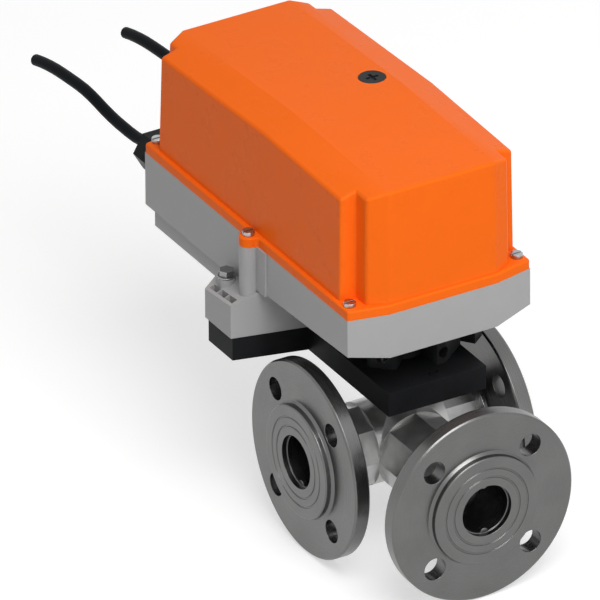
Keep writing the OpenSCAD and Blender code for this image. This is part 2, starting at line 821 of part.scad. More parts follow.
module bracket_plate() {
  color([0.11, 0.12, 0.13]) about_stem() difference() {
    translate([0, 0, plate_base_h]) linear_extrude(plate_t) polygon([
      [-plate_w / 2, -plate_front],
      [plate_w / 2, -plate_front],
      [plate_w / 2, plate_back],
      [-arm_reach, plate_back],
      [-arm_reach, arm_start + arm_slant],
      [-plate_w / 2, arm_start]
    ]);
    translate([0, 0, plate_base_h - over]) cylinder(d = stem_hole_d, h = plate_t + 2 * over);
    for (angle = [0 : 90 : 270])
      rotate([0, 0, angle]) translate([pad_bolt_circle_d / 2, 0, plate_base_h - over])
        cylinder(r = small_screw_r + fit_gap, h = pad_bolt_len - pad_t + 2 * over);
    for (angle = [45 : 90 : 315])
      rotate([0, 0, angle]) translate([adapter_bolt_circle_d / 2, 0, plate_base_h - over]) {
        cylinder(r = small_screw_r + screw_gap, h = plate_t + 2 * over);
        cylinder(d = adapter_head_d + 2 * screw_gap, h = small_head_t + 2 * over);
      }
    for (side = [0, 1])
      translate([side * pin_hole_pitch, -pin_hole_reach, plate_top - pin_hole_depth])
        cylinder(d = pin_hole_d, h = pin_hole_depth + over);
    translate([-ear_bolt_x, ear_bolt_y, plate_base_h - over])
      cylinder(d = ear_bolt_d + 2 * fit_gap, h = plate_t + 2 * over);
  }
}

module pad_bolts() {
  color("silver") about_stem() for (angle = [0 : 90 : 270])
    rotate([0, 0, angle]) translate([pad_bolt_circle_d / 2, 0, plate_base_h - pad_t]) {
      translate([0, 0, -small_head_t]) hexagon(pad_head_flats, small_head_t);
      cylinder(r = small_screw_r, h = pad_bolt_len);
    }
}

// One lobe of the adapter's plan, reaching out from the stem axis
module lobe(angle, reach, width) {
  rotate(angle) {
    translate([0, -width / 2]) square([reach - lobe_corner_r, width]);
    translate([0, -width / 2 + lobe_corner_r]) square([reach, width - 2 * lobe_corner_r]);
    for (side = [-1, 1])
      translate([reach - lobe_corner_r, side * (width / 2 - lobe_corner_r)])
        circle(r = lobe_corner_r);
  }
}

// Directions of the adapter's lobes, of its side holes and of its screws, seen from above
plain_lobe_angles = [-135, 45, 135];
slant_angle = 37.7;
front_hole_angle = -68;
adapter_screw_angles = [-135, -45, 45, 135];

// Plan of the front lobe, whose right half is a long slanted face
module front_lobe() {
  tip_x = front_lobe_side + front_lobe_flat;
  polygon([
    [front_lobe_side, 0],
    [front_lobe_side, -front_lobe_reach + lobe_corner_r],
    [front_lobe_side + lobe_corner_r / 2, -front_lobe_reach],
    [tip_x, -front_lobe_reach],
    [tip_x + front_lobe_slant * cos(slant_angle), -front_lobe_reach + front_lobe_slant * sin(slant_angle)],
    [adapter_core_d / 2, 0]
  ]);
}

module adapter() {
  color([0.10, 0.11, 0.12]) about_stem() difference() {
    translate([0, 0, plate_top]) linear_extrude(adapter_h) difference() {
      union() {
        circle(d = adapter_core_d);
        for (angle = plain_lobe_angles) lobe(angle, lobe_reach, lobe_w);
        front_lobe();
        rotate(slant_angle - 90) translate([0, long_lobe_offset])
          square([long_lobe_reach, long_lobe_w]);
      }
      circle(d = stem_hole_d);
    }
    for (angle = concat(plain_lobe_angles, [front_hole_angle])) {
      reach = angle == front_hole_angle ? front_lobe_reach : lobe_reach;
      rotate([0, 0, angle])
        translate([reach - lobe_hole_depth, 0, plate_top + lobe_hole_h])
          rotate([0, 90, 0]) cylinder(d = lobe_hole_d, h = 2 * lobe_hole_depth);
    }
    for (angle = adapter_screw_angles)
      rotate([0, 0, angle]) translate([adapter_bolt_circle_d / 2, 0, plate_top - over])
        cylinder(r = small_screw_r + fit_gap, h = adapter_screw_len);
  }
}

module adapter_screws() {
  color("silver") about_stem() for (angle = adapter_screw_angles)
    rotate([0, 0, angle]) translate([adapter_bolt_circle_d / 2, 0, plate_base_h + over]) {
      cylinder(d = adapter_head_d, h = small_head_t);
      cylinder(r = small_screw_r, h = adapter_screw_len);
    }
}

module drive_coupling() {
  color("dimgray") about_stem() translate([0, 0, coupling_base]) difference() {
    cylinder(d = coupling_d, h = coupling_len);
    translate([0, 0, -over]) intersection() {
      square_bar(stem_square_w + 2 * square_gap, socket_len + over);
      cylinder(r = stem_r + square_gap, h = socket_len + over);
    }
    translate([0, 0, coupling_len - socket_len])
      square_bar(output_square_w + 2 * square_gap, socket_len + over);
  }
}

// Housing

// Plan of the housing and of the hood's rim
module house_plan() {
  polygon([
    [-centre_half, -front_reach],
    [centre_half, -front_reach],
    [house_half, -front_reach + corner_drop],
    [house_half, back_reach - corner_drop],
    [centre_half, back_reach],
    [-centre_half, back_reach],
    [-house_half, back_reach - corner_drop],
    [-house_half, -front_reach + corner_drop]
  ]);
}

// Places of the corner and side cover screws
corner_screws = [
  [-corner_screw_x, -front_screw_y], [corner_screw_x, -front_screw_y],
  [-back_screw_x, back_screw_y], [back_screw_x, back_screw_y]
];
side_screws = [[-column_reach, column_y], [column_reach, column_y]];

// The front part, whose side bevels fade out towards the deep part behind it
module front_block() {
  front = -front_reach;
  polyhedron(
    points = [
      [-centre_half, front, house_floor], [centre_half, front, house_floor],
      [house_half, front, house_floor + side_rise], [house_half, front, rim_h],
      [-house_half, front, rim_h], [-house_half, front, house_floor + side_rise],
      [house_half, belly_front, house_floor], [house_half, belly_front, rim_h],
      [-house_half, belly_front, rim_h], [-house_half, belly_front, house_floor]
    ],
    faces = [
      [0, 5, 4, 3, 2, 1], [6, 7, 8, 9], [3, 4, 8, 7], [2, 3, 7, 6],
      [1, 2, 6], [0, 1, 6, 9], [0, 9, 5], [4, 5, 9, 8]
    ]
  );
}

// Height of the ear's sloping top
function ear_z(x, y) = ear_top + ear_rise * (ear_reach + x) / (ear_reach - house_half)
  - ear_fall * (y - ear_front) / (ear_back - ear_front);

module ear() {
  inner = centre_half + ear_boss_r + column_r;
  inner_y = ear_front - (ear_front - arm_start) * (ear_reach - inner) / (ear_reach - ear_foot_x);
  back_y = ear_back + ear_back_slant;
  low = [[-ear_reach, ear_front], [-ear_foot_x, arm_start], [-ear_foot_x, ear_back],
    [-ear_reach, ear_back]];
  high = [[-ear_reach, ear_front], [-inner, inner_y], [-inner, back_y], [-house_half, back_y],
    [-ear_reach, ear_back]];
  polyhedron(
    points = concat([for (p = low) [p[0], p[1], plate_top]],
      [for (p = high) [p[0], p[1], ear_z(p[0], p[1])]]),
    faces = [[0, 1, 2, 3], [8, 7, 6, 5, 4], [0, 4, 5, 1], [1, 5, 2], [5, 6, 2],
      [2, 6, 7], [2, 7, 3], [7, 8, 3], [0, 3, 8, 4]]
  );
}

module housing_solid() {
  intersection() {
    translate([0, 0, belly_floor]) linear_extrude(rim_h - belly_floor) house_plan();
    union() {
      front_block();
      translate([-house_half, belly_front, back_floor])
        cube([house_w, back_reach - belly_front, rim_h - back_floor]);
      translate([-belly_w / 2, belly_front, belly_floor])
        cube([belly_w, belly_back - belly_front, rim_h - belly_floor]);
    }
  }
  ear();
  translate([-house_half - side_pad_t, column_y - side_pad_len, house_floor])
    cube([house_wall, side_pad_len, house_depth]);
  for (p = side_screws) {
    column_base = p[0] < 0 ? ear_top - over : rim_h - house_depth + side_rise;
    translate([p[0], p[1], column_base]) cylinder(r = column_r, h = rim_h - column_base);
  }
  translate([-ear_bolt_x, ear_bolt_y, plate_top])
    cylinder(r = ear_boss_r, h = ear_boss_top - plate_top);
  for (i = [0, 1])
    translate([cable_xs[i], back_reach - corner_drop, cable_h]) rotate([-90, 0, 0])
      cylinder(d = gland_nut_flats, h = corner_drop + gland_seat_t + i * gland_step);
}

module housing_hollow() {
  inner_half = house_half - house_wall;
  inner_front = front_reach - corner_drop - house_wall;
  floor_half = gear_plate_w / 2 + over;
  translate([-inner_half, -inner_front, upper_floor])
    cube([2 * inner_half, inner_front + back_wall_y, house_depth]);
  translate([-floor_half, -inner_front, gear_plate_h])
    cube([2 * floor_half, inner_front + back_wall_y, house_depth]);
  translate([-inner_half, belly_front + house_wall, back_floor + house_wall])
    cube([2 * inner_half, back_wall_y - belly_front - house_wall, house_depth + back_wall_drop]);
  translate([-belly_w / 2 + house_wall, belly_front + house_wall, belly_floor + house_wall])
    cube([belly_w - 2 * house_wall, belly_back - belly_front - 2 * house_wall, rim_h]);
}

module gasket_ring(height) {
  translate([0, 0, rim_h - gasket_t]) linear_extrude(height) difference() {
    offset(delta = -gasket_inset) house_plan();
    offset(delta = -gasket_inset - gasket_w) house_plan();
  }
}

module housing() {
  color([0.66, 0.67, 0.68]) about_stem() difference() {
    union() {
      difference() {
        housing_solid();
        housing_hollow();
      }
      for (side = [-1, 1])
        translate([side * corner_screw_x, -front_screw_y, upper_floor - house_wall / 2])
          cylinder(r = post_r, h = rim_h - upper_floor + house_wall / 2);
      for (p = gear_plate_posts)
        translate([p[0], p[1], belly_floor + house_wall / 2])
          cylinder(r = post_r, h = gear_plate_h - belly_floor - house_wall / 2);
    }
    gasket_ring(gasket_t + over);
    for (p = concat(corner_screws, side_screws))
      translate([p[0], p[1], rim_top - cover_screw_len - over])
        cylinder(d = cover_screw_d + 2 * fit_gap, h = cover_screw_len + over);
    for (p = gear_plate_points)
      translate([p[0], p[1], gear_plate_top - gear_screw_len - over / 2])
        cylinder(d = gear_screw_d + 2 * fit_gap, h = gear_screw_len + over);
    translate([0, 0, house_floor - over])
      cylinder(d = bush_d + 2 * fit_gap, h = house_wall + 2 * over);
    translate([-ear_bolt_x, ear_bolt_y, plate_top - over])
      cylinder(d = ear_bolt_d + 2 * screw_gap, h = ear_boss_top - plate_top + 2 * over);
    pocket();
    for (x = cable_xs)
      translate([x, back_wall_y - over, cable_h]) rotate([-90, 0, 0])
        cylinder(d = gland_thread_d + 2 * fit_gap, h = gland_seat_y - back_wall_y + gland_step + 2 * over);
  }
}

// Slot pocket in the ear's top, with two small ribs left standing in it
module pocket() {
  pocket_x = -ear_reach + house_wall / 2;
  pocket_y = ear_front + house_wall / 2;
  rib_t = pocket_w / 5;
  for (i = [0 : 2])
    translate([pocket_x, pocket_y + i * (pocket_len + rib_t) / 3, ear_top - pocket_depth])
      cube([pocket_w, (pocket_len + rib_t) / 3 - rib_t, pocket_depth + ear_rise]);
}

module hood_gasket() {
  color("dimgray") about_stem() gasket_ring(gasket_t);
}

// Hood

// Plan of the hood's foot, with a notch at each corner for its screw
module hood_plan() {
  polygon([
    [-centre_half, -hood_front],
    [centre_half, -hood_front],
    [notch_x, -hood_front + hood_facet_drop],
    [notch_x, -hood_front + hood_facet_drop + front_notch],
    [hood_half, -hood_front + hood_facet_drop + front_notch],
    [hood_half, hood_back - hood_facet_drop - back_notch],
    [notch_x, hood_back - hood_facet_drop - back_notch],
    [notch_x, hood_back - hood_facet_drop],
    [centre_half, hood_back],
    [-centre_half, hood_back],
    [-notch_x, hood_back - hood_facet_drop],
    [-notch_x, hood_back - hood_facet_drop - back_notch],
    [-hood_half, hood_back - hood_facet_drop - back_notch],
    [-hood_half, -hood_front + hood_facet_drop + front_notch],
    [-notch_x, -hood_front + hood_facet_drop + front_notch],
    [-notch_x, -hood_front + hood_facet_drop]
  ]);
}

// Height of the roof's middle strip above the rim at a distance from the stem axis
function roof_h(y) = y < ridge_y
  ? hood_ridge_h - (hood_ridge_h - hood_front_h) * (ridge_y - y) / (ridge_y + hood_front)
  : hood_ridge_h - (hood_ridge_h - hood_back_h) * (y - ridge_y) / (hood_back - ridge_y);

// One cross-section of the roof, drawn across the hood at a distance from the stem axis
function roof_section(y, drop) = [
  [-house_half, y, -house_depth],
  [-house_half, y, roof_h(y) - roof_fall * (house_half - centre_half) / (hood_half - centre_half) - drop],
  [-centre_half, y, roof_h(y) - drop],
  [centre_half, y, roof_h(y) - drop],
  [house_half, y, roof_h(y) - roof_fall * (house_half - centre_half) / (hood_half - centre_half) - drop],
  [house_half, y, -house_depth]
];

// The space under the roof, lowered by a drop
module under_roof(drop) {
  stations = [-front_reach - over, ridge_y, back_reach + over];
  points = [for (y = stations) each roof_section(y, drop)];
  sides = 6;
  faces = concat(
    [[0, 1, 2, 3, 4, 5]],
    [[17, 16, 15, 14, 13, 12]],
    [for (k = [0, 1], i = [0 : sides - 1])
      [k * sides + i, (k + 1) * sides + i, k * sides + (i + 1) % sides]],
    [for (k = [0, 1], i = [0 : sides - 1])
      [(k + 1) * sides + i, (k + 1) * sides + (i + 1) % sides, k * sides + (i + 1) % sides]]
  );
  translate([0, 0, rim_top]) polyhedron(points = points, faces = faces);
}

// The hood's outer shape, or its hollow when it is drawn in by an inset
module hood_shape(inset) {
  middle_y = -hood_front / 2;
  intersection() {
    translate([0, middle_y, rim_top - over])
      linear_extrude(taper_h + over, scale = [taper_x_share, taper_y_share], slices = 1)
        translate([0, -middle_y]) offset(delta = -inset) hood_plan();
    under_roof(inset);
  }
}

module hood() {
  boss_r = plug_r + hood_wall / 2;
  plug_z = rim_top + roof_h(hand_y);
  color([0.95, 0.42, 0.12]) about_stem() difference() {
    union() {
      difference() {
        union() {
          translate([0, 0, rim_h]) linear_extrude(rim_t) house_plan();
          for (p = side_screws) translate([p[0], p[1], rim_h]) cylinder(r = column_r, h = rim_t);
          hood_shape(0);
        }
        hood_shape(hood_wall);
        translate([0, 0, rim_h - over]) linear_extrude(rim_t + over)
          offset(delta = -hood_wall) hood_plan();
      }
      intersection() {
        hood_shape(0);
        translate([hand_x, hand_y, plug_z - plug_spigot_len - plug_cap_t])
          cylinder(r = boss_r, h = plug_spigot_len + 2 * plug_cap_t);
      }
    }
    for (p = concat(corner_screws, side_screws))
      translate([p[0], p[1], rim_h - over])
        cylinder(d = cover_screw_d + 2 * screw_gap, h = rim_t + 2 * over);
    translate([hand_x, hand_y, plug_z - plug_cap_t])
      cylinder(r = plug_r + body_gap, h = 2 * plug_cap_t);
    translate([hand_x, hand_y, plug_z - 2 * plug_spigot_len])
      cylinder(d = plug_spigot_d + 2 * shaft_gap, h = 2 * plug_spigot_len);
  }
}

module cover_screws() {
  color("silver") about_stem() for (p = concat(corner_screws, side_screws))
    translate([p[0], p[1], rim_top])
      slot_screw(cover_screw_d, cover_head_d, cover_head_t, cover_screw_len);
}

module override_plug() {
  plug_z = rim_top + roof_h(hand_y);
  spigot_len = plug_spigot_len - plug_cap_t;
  color([0.10, 0.10, 0.11]) about_stem() translate([hand_x, hand_y, plug_z - plug_cap_t]) difference() {
    union() {
      cylinder(r = plug_r, h = plug_cap_t);
      translate([0, 0, -spigot_len]) cylinder(d = plug_spigot_d, h = spigot_len + fit_gap);
    }
    for (angle = [0, 90])
      rotate([0, 0, angle])
        translate([-plug_slot_len / 2, -plug_slot_w / 2, plug_cap_t - plug_slot_depth])
          cube([plug_slot_len, plug_slot_w, plug_slot_depth + over]);
  }
}

module ear_bolt() {
  washer_top = ear_boss_top + ear_washer_t;
  color("silver") about_stem() translate([-ear_bolt_x, ear_bolt_y, washer_top]) {
    hexagon(ear_head_flats, ear_head_t);
    translate([0, 0, -ear_bolt_len]) cylinder(d = ear_bolt_d, h = ear_bolt_len);
  }
}

module ear_washer() {
  color("silver") about_stem() translate([-ear_bolt_x, ear_bolt_y, ear_boss_top])
    tube(ear_boss_r, ear_bolt_d / 2 + screw_gap, ear_washer_t);
}

// Gearbox

// Places of the gear plate's screws: two in front, two in the middle, two on posts at the back
plate_screw_x = 40;
front_plate_screw_y = 34;
middle_plate_screw_y = 40;
gear_post_x = 36;
gear_post_y = 122;
gear_screw_len = 5;
gear_plate_posts = [[-gear_post_x, gear_post_y], [gear_post_x, gear_post_y]];
gear_plate_points = concat([
  [-plate_screw_x, -front_plate_screw_y], [plate_screw_x, -front_plate_screw_y],
  [-plate_screw_x, middle_plate_screw_y], [plate_screw_x, middle_plate_screw_y]
], gear_plate_posts);

// Places of the top plate's pillars
front_pillar_x = 42;
front_pillar_y = 8;
left_pillar_x = 26;
right_pillar_x = 36;
back_pillar_y = 90;
pillar_points = [
  [-front_pillar_x, front_pillar_y], [front_pillar_x, front_pillar_y],
  [-left_pillar_x, back_pillar_y], [right_pillar_x, back_pillar_y]
];

// Roll angle of the involute at a radius, in degrees
function involute(base, r) = tan(acos(base / r)) * 180 / PI - acos(base / r);

// Half of a tooth's angle at a radius
function half_tooth(teeth, r) =
  let (pitch = tooth_m * teeth / 2, base = pitch * cos(pressure_angle), at = max(r, base))
  (90 / teeth) * (1 - backlash_share) + involute(base, pitch) - involute(base, at);

// Outline of one tooth pointing along an angle, from root to root
function tooth(teeth, angle) =
  let (
    pitch = tooth_m * teeth / 2,
    root = pitch - dedendum_share * tooth_m,
    base = max(pitch * cos(pressure_angle), root),
    tip = pitch + addendum_share * tooth_m,
    radii = [root, base, pitch, tip]
  )
  concat(
    [for (r = radii)
      let (a = angle - half_tooth(teeth, r)) [r * cos(a), r * sin(a)]],
    [for (i = [3 : -1 : 0])
      let (r = radii[i], a = angle + half_tooth(teeth, r)) [r * cos(a), r * sin(a)]]
  );

// A gear with one tooth pointing along an angle
module gear(teeth, angle, thickness) {
  linear_extrude(thickness)
    polygon([for (i = [0 : teeth - 1]) each tooth(teeth, angle + i * 360 / teeth)]);
}

module gear_plate() {
  color("lightgray") about_stem() translate([0, 0, gear_plate_h]) difference() {
    translate([-gear_plate_w / 2, -gear_plate_front, 0])
      cube([gear_plate_w, gear_plate_front + gear_plate_back, gear_plate_t]);
    translate([0, 0, -over]) cylinder(d = bush_flange_d + 2 * screw_gap, h = gear_plate_t + 2 * over);
    for (p = gear_plate_points)
      translate([p[0], p[1], -over])
        cylinder(d = gear_screw_d + 2 * screw_gap, h = gear_plate_t + 2 * over);
    for (y = [second_y, first_y])
      translate([0, y, -over]) cylinder(d = axle_d + 2 * fit_gap, h = gear_plate_t + 2 * over);
    translate([stop_reach, 0, -over]) cylinder(d = stop_d + 2 * fit_gap, h = gear_plate_t + 2 * over);
    translate([hand_x, hand_y, -over])
      cylinder(d = hand_shaft_d + 2 * shaft_gap, h = gear_plate_t + 2 * over);
    translate([0, motor_y, -over]) cylinder(d = motor_shaft_d + 2 * over, h = gear_plate_t + 2 * over);
    for (x = motor_screw_xs)
      translate([x, motor_y, -over])
        cylinder(d = gear_screw_d + 2 * screw_gap, h = gear_plate_t + 2 * over);
  }
}

module gear_plate_screws() {
  color("silver") about_stem() for (p = gear_plate_points)
    translate([p[0], p[1], gear_plate_top])
      slot_screw(gear_screw_d, gear_head_d, gear_head_t, gear_screw_len);
}

module top_plate() {
  color("lightgray") about_stem() translate([0, 0, top_plate_z]) difference() {
    linear_extrude(gear_plate_t) polygon([
      pillar_points[0] + [-pillar_d, -2 * pillar_d], pillar_points[1] + [pillar_d, -2 * pillar_d],
      pillar_points[3] + [pillar_d, pillar_d], pillar_points[2] + [-pillar_d, pillar_d]
    ]);
    translate([0, 0, -over]) cylinder(d = output_top_d + 2 * shaft_gap, h = gear_plate_t + 2 * over);
    for (y = [second_y, first_y])
      translate([0, y, -over]) cylinder(d = axle_d + 2 * fit_gap, h = gear_plate_t + 2 * over);
    translate([hand_x, hand_y, -over])
      cylinder(d = hand_shaft_d + 2 * shaft_gap, h = gear_plate_t + 2 * over);
    for (p = pillar_points)
      translate([p[0], p[1], -over])
        cylinder(d = gear_screw_d + 2 * screw_gap, h = gear_plate_t + 2 * over);
  }
}

module top_plate_pillars() {
  color("silver") about_stem() for (p = pillar_points)
    translate([p[0], p[1], gear_plate_top])
      tube(pillar_d / 2, gear_screw_d / 2 + fit_gap, top_plate_h);
}

module top_plate_screws() {
  color("silver") about_stem() for (p = pillar_points)
    translate([p[0], p[1], top_plate_z + gear_plate_t])
      slot_screw(gear_screw_d, gear_head_d, gear_head_t, 2 * gear_screw_len);
}

module output_bush() {
  color("goldenrod") about_stem() translate([0, 0, house_floor]) difference() {
    union() {
      cylinder(d = bush_d, h = house_wall);
      translate([0, 0, house_wall]) cylinder(d = bush_flange_d, h = gear_plate_t);
    }
    translate([0, 0, -over])
      cylinder(d = output_shaft_d + 2 * shaft_gap, h = house_wall + gear_plate_t + 2 * over);
  }
}

module output_shaft() {
  shaft_top = low_gear_z + output_t;
  color("silver") about_stem() {
    translate([0, 0, output_foot + square_gap]) square_bar(output_square_w, socket_len);
    translate([0, 0, coupling_base + coupling_len + square_gap])
      cylinder(d = output_shaft_d, h = shaft_top - coupling_base - coupling_len - square_gap);
    translate([0, 0, shaft_top])
      cylinder(d = output_top_d, h = top_plate_z + gear_plate_t - shaft_top);
  }
}

module output_gear() {
  slot_half = stop_d / 2 + stop_gap;
  color("goldenrod") about_stem() translate([0, 0, low_gear_z]) difference() {
    gear(output_teeth, 90, output_t);
    translate([0, 0, -over]) cylinder(d = output_shaft_d + 2 * fit_gap, h = output_t + 2 * over);
    translate([0, 0, -over]) linear_extrude(output_t + 2 * over) {
      intersection() {
        difference() {
          circle(r = stop_reach + slot_half);
          circle(r = stop_reach - slot_half);
        }
        translate([0, -flange_r]) square(flange_r);
      }
      translate([stop_reach, 0]) circle(r = slot_half);
      translate([0, -stop_reach]) circle(r = slot_half);
    }
  }
}

module stop_pin() {
  color("silver") about_stem() translate([stop_reach, 0, gear_plate_h])
    cylinder(d = stop_d, h = gear_plate_t + stop_h);
}

module gear_axles() {
  color("silver") about_stem() for (y = [second_y, first_y])
    translate([0, y, gear_plate_h]) cylinder(d = axle_d, h = 2 * gear_plate_t + top_plate_h);
}

// Two gears on one hub: a pinion and a wheel, each with its own height and tooth angle
module double_gear(pinion, pinion_angle, pinion_z, pinion_t, wheel, wheel_angle, wheel_z) {
  low = min(pinion_z, wheel_z);
  high = max(pinion_z + pinion_t, wheel_z + wheel_t);
  difference() {
    union() {
      translate([0, 0, pinion_z]) gear(pinion, pinion_angle, pinion_t);
      translate([0, 0, wheel_z]) gear(wheel, wheel_angle, wheel_t);
      translate([0, 0, low]) cylinder(d = 2 * axle_d, h = high - low);
    }
    translate([0, 0, low - over]) cylinder(d = axle_d + 2 * shaft_gap, h = high - low + 2 * over);
  }
}

module second_gear() {
  color("gold") about_stem() translate([0, second_y, 0])
    double_gear(
      second_pinion_teeth, -90 + 180 / second_pinion_teeth, low_gear_z - low_gear_h / 2,
      high_gear_h - low_gear_h + low_gear_h / 2,
      second_wheel_teeth, 90, high_gear_z
    );
}

module first_gear() {
  color("khaki") about_stem() translate([0, first_y, 0])
    double_gear(
      first_pinion_teeth, -90 + 180 / first_pinion_teeth, low_gear_z + output_t - wheel_t,
      high_gear_h + wheel_t - low_gear_h - output_t + wheel_t + low_gear_h / 2,
      first_wheel_teeth, 90, low_gear_z + output_t / 4
    );
}

module override_shaft() {
  wheel_side = hand_angle + 180;
  pinion_angle = wheel_side + 180 / hand_teeth + hand_phase;
  color("silver") about_stem() translate([hand_x, hand_y, 0]) difference() {
    union() {
      translate([0, 0, high_gear_z - low_gear_h / 2])
        gear(hand_teeth, pinion_angle, wheel_t + low_gear_h);
      translate([0, 0, gear_plate_h]) cylinder(d = hand_shaft_d, h = hand_shaft_len);
    }
    translate([0, 0, gear_plate_h + hand_shaft_len - 2 * hand_socket_w])
      hexagon(hand_socket_w, 2 * hand_socket_w + over);
  }
}

// How far the hand-drive pinion is turned so that it meshes where the wheel's tooth falls
hand_phase = (hand_angle - 90) * second_wheel_teeth / hand_teeth;

// Motor

motor_screw_x = 15;
motor_screw_xs = [-motor_screw_x, motor_screw_x];

module drive_motor() {
  motor_base = gear_plate_h - motor_t;
  color("dimgray") about_stem() translate([0, motor_y, motor_base]) difference() {
    cylinder(d = motor_d, h = motor_t);
    translate([0, 0, motor_t - motor_shaft_len - over])
      cylinder(d = motor_shaft_d + 2 * shaft_gap, h = motor_shaft_len + 2 * over);
    for (x = motor_screw_xs)
      translate([x, 0, motor_t - gear_screw_len])
        cylinder(d = gear_screw_d + 2 * fit_gap, h = gear_screw_len + over);
  }
}

module motor_screws() {
  color("silver") about_stem() for (x = motor_screw_xs)
    translate([x, motor_y, gear_plate_top])
      slot_screw(gear_screw_d, gear_head_d, gear_head_t, gear_screw_len);
}

module motor_pinion() {
  color("silver") about_stem() translate([0, motor_y, 0]) union() {
    translate([0, 0, low_gear_z]) gear(motor_teeth, -90 + 180 / motor_teeth, output_t);
    translate([0, 0, gear_plate_h - motor_shaft_len])
      cylinder(d = motor_shaft_d, h = motor_shaft_len + gear_plate_t + low_gear_h + over);
  }
}

// Electrics

board_corner_x = 30;
board_edge = 5;

module circuit_board() {
  color("darkgreen") about_stem() translate([-board_w / 2, board_front, board_z])
    cube([board_w, board_len, board_t]);
}

module board_pillars() {
  color("silver") about_stem() for (side = [-1, 1]) {
    translate([side * board_corner_x, board_front + board_edge, gear_plate_top])
      cylinder(d = gear_head_d, h = board_h);
    translate([side * board_corner_x, board_front + board_len - board_edge, belly_floor + house_wall])
      cylinder(d = gear_head_d, h = board_z - belly_floor - house_wall);
  }
}

module terminal_block() {
  pitch = terminal_w / terminal_ways;
  color("seagreen") about_stem()
    translate([-terminal_w / 2, board_front + board_len - terminal_d - board_edge, board_z + board_t])
      difference() {
        cube([terminal_w, terminal_d, terminal_h]);
        for (i = [0 : terminal_ways - 1])
          translate([(i + 0.5) * pitch, terminal_d / 2, terminal_h / 2])
            cylinder(d = pitch / 2, h = terminal_h);
      }
}

module capacitors() {
  color([0.2, 0.22, 0.3]) about_stem() for (i = [0, 1])
    translate([-board_w / 6 - i * (capacitor_d + over), board_front + board_len / 3, board_z + board_t])
      cylinder(d = capacitor_d, h = capacitor_h);
}

module transformer() {
  color("gold") about_stem() translate([board_edge, board_front + board_edge, board_z + board_t])
    cube([transformer_w, transformer_w, transformer_h]);
}

// Glands and cables

// Pieces that sit on the outside of the back wall stand on each gland's own seat
module at_glands() {
  about_stem() for (i = [0, 1])
    translate([cable_xs[i], 0, cable_h]) rotate([-90, 0, 0])
      let ($seat_y = gland_seat_y + i * gland_step) children();
}

module gland_bodies() {
  thread_end = back_wall_y - lock_nut_t - over;
  color([0.10, 0.11, 0.12]) at_glands() difference() {
    union() {
      translate([0, 0, $seat_y]) hexagon(gland_nut_flats, gland_hex_t);
      translate([0, 0, thread_end])
        cylinder(d = gland_thread_d - 2 * fit_gap, h = $seat_y - thread_end);
      translate([0, 0, $seat_y + gland_hex_t]) cylinder(d = gland_neck_d, h = dome_nut_t / 2);
    }
    translate([0, 0, thread_end - over])
      cylinder(d = cable_d + 2 * screw_gap, h = gland_face_y);
    translate([0, 0, $seat_y + gland_hex_t]) cylinder(d = 2 * cable_d, h = dome_nut_t);
  }
}

module gland_seals() {
  color("dimgray") at_glands() translate([0, 0, $seat_y + gland_hex_t])
    tube(cable_d - fit_gap, cable_r + fit_gap, dome_nut_t * seal_share);
}

module gland_dome_nuts() {
  inner_r = gland_neck_d / 2 + fit_gap;
  color([0.10, 0.11, 0.12]) at_glands() translate([0, 0, $seat_y + gland_hex_t]) difference() {
    union() {
      hexagon(gland_nut_flats, dome_nut_t);
      translate([0, 0, dome_nut_t])
        cylinder(r1 = gland_nut_flats / 2 - fit_gap, r2 = cable_d, h = nose_len);
    }
    translate([0, 0, -over]) cylinder(r = inner_r, h = dome_nut_t * nut_bore_share + over);
    translate([0, 0, -over]) cylinder(r = cable_r + screw_gap, h = dome_nut_t + nose_len + 2 * over);
  }
}

module gland_lock_nuts() {
  nut_z = back_wall_y - lock_nut_t;
  color([0.10, 0.11, 0.12]) at_glands() translate([0, 0, nut_z]) difference() {
    hexagon(lock_nut_flats, lock_nut_t);
    translate([0, 0, -over]) cylinder(d = gland_thread_d, h = lock_nut_t + 2 * over);
  }
}

module cable_ends_inside() {
  color([0.07, 0.07, 0.08]) at_glands() translate([0, 0, $seat_y + gland_hex_t - inner_cable_len])
    cylinder(d = cable_d, h = inner_cable_len + dome_nut_t + nose_len);
}

// A round tube swept along a list of points
function ring_frame(points, i) =
  let (
    before = points[max(i - 1, 0)],
    after = points[min(i + 1, len(points) - 1)],
    ahead = (after - before) / norm(after - before),
    across = [1, 0, 0],
    up = cross(across, ahead)
  )
  [across, up / norm(up)];
function ring(points, i, r, sides) =
  let (f = ring_frame(points, i))
  [for (k = [0 : sides - 1])
    points[i] + r * cos(k * 360 / sides) * f[0] + r * sin(k * 360 / sides) * f[1]];

module swept_tube(points, r, sides) {
  rings = len(points);
  body = [for (i = [0 : rings - 1]) each ring(points, i, r, sides)];
  walls = [for (i = [0 : rings - 2], k = [0 : sides - 1])
    let (a = i * sides + k, b = i * sides + (k + 1) % sides) [a, b, b + sides, a + sides]];
  first_cap = [for (k = [sides - 1 : -1 : 0]) k];
  last_cap = [for (k = [0 : sides - 1]) (rings - 1) * sides + k];
  polyhedron(points = body, faces = concat(walls, [first_cap, last_cap]));
}

module cable(i) {
  color([0.07, 0.07, 0.08]) about_stem()
    translate([cable_xs[i], gland_face_y + i * gland_step, cable_h])
      swept_tube(cable_route, cable_r, cable_sides);
}
module cable_left() cable(0);
module cable_right() cable(1);

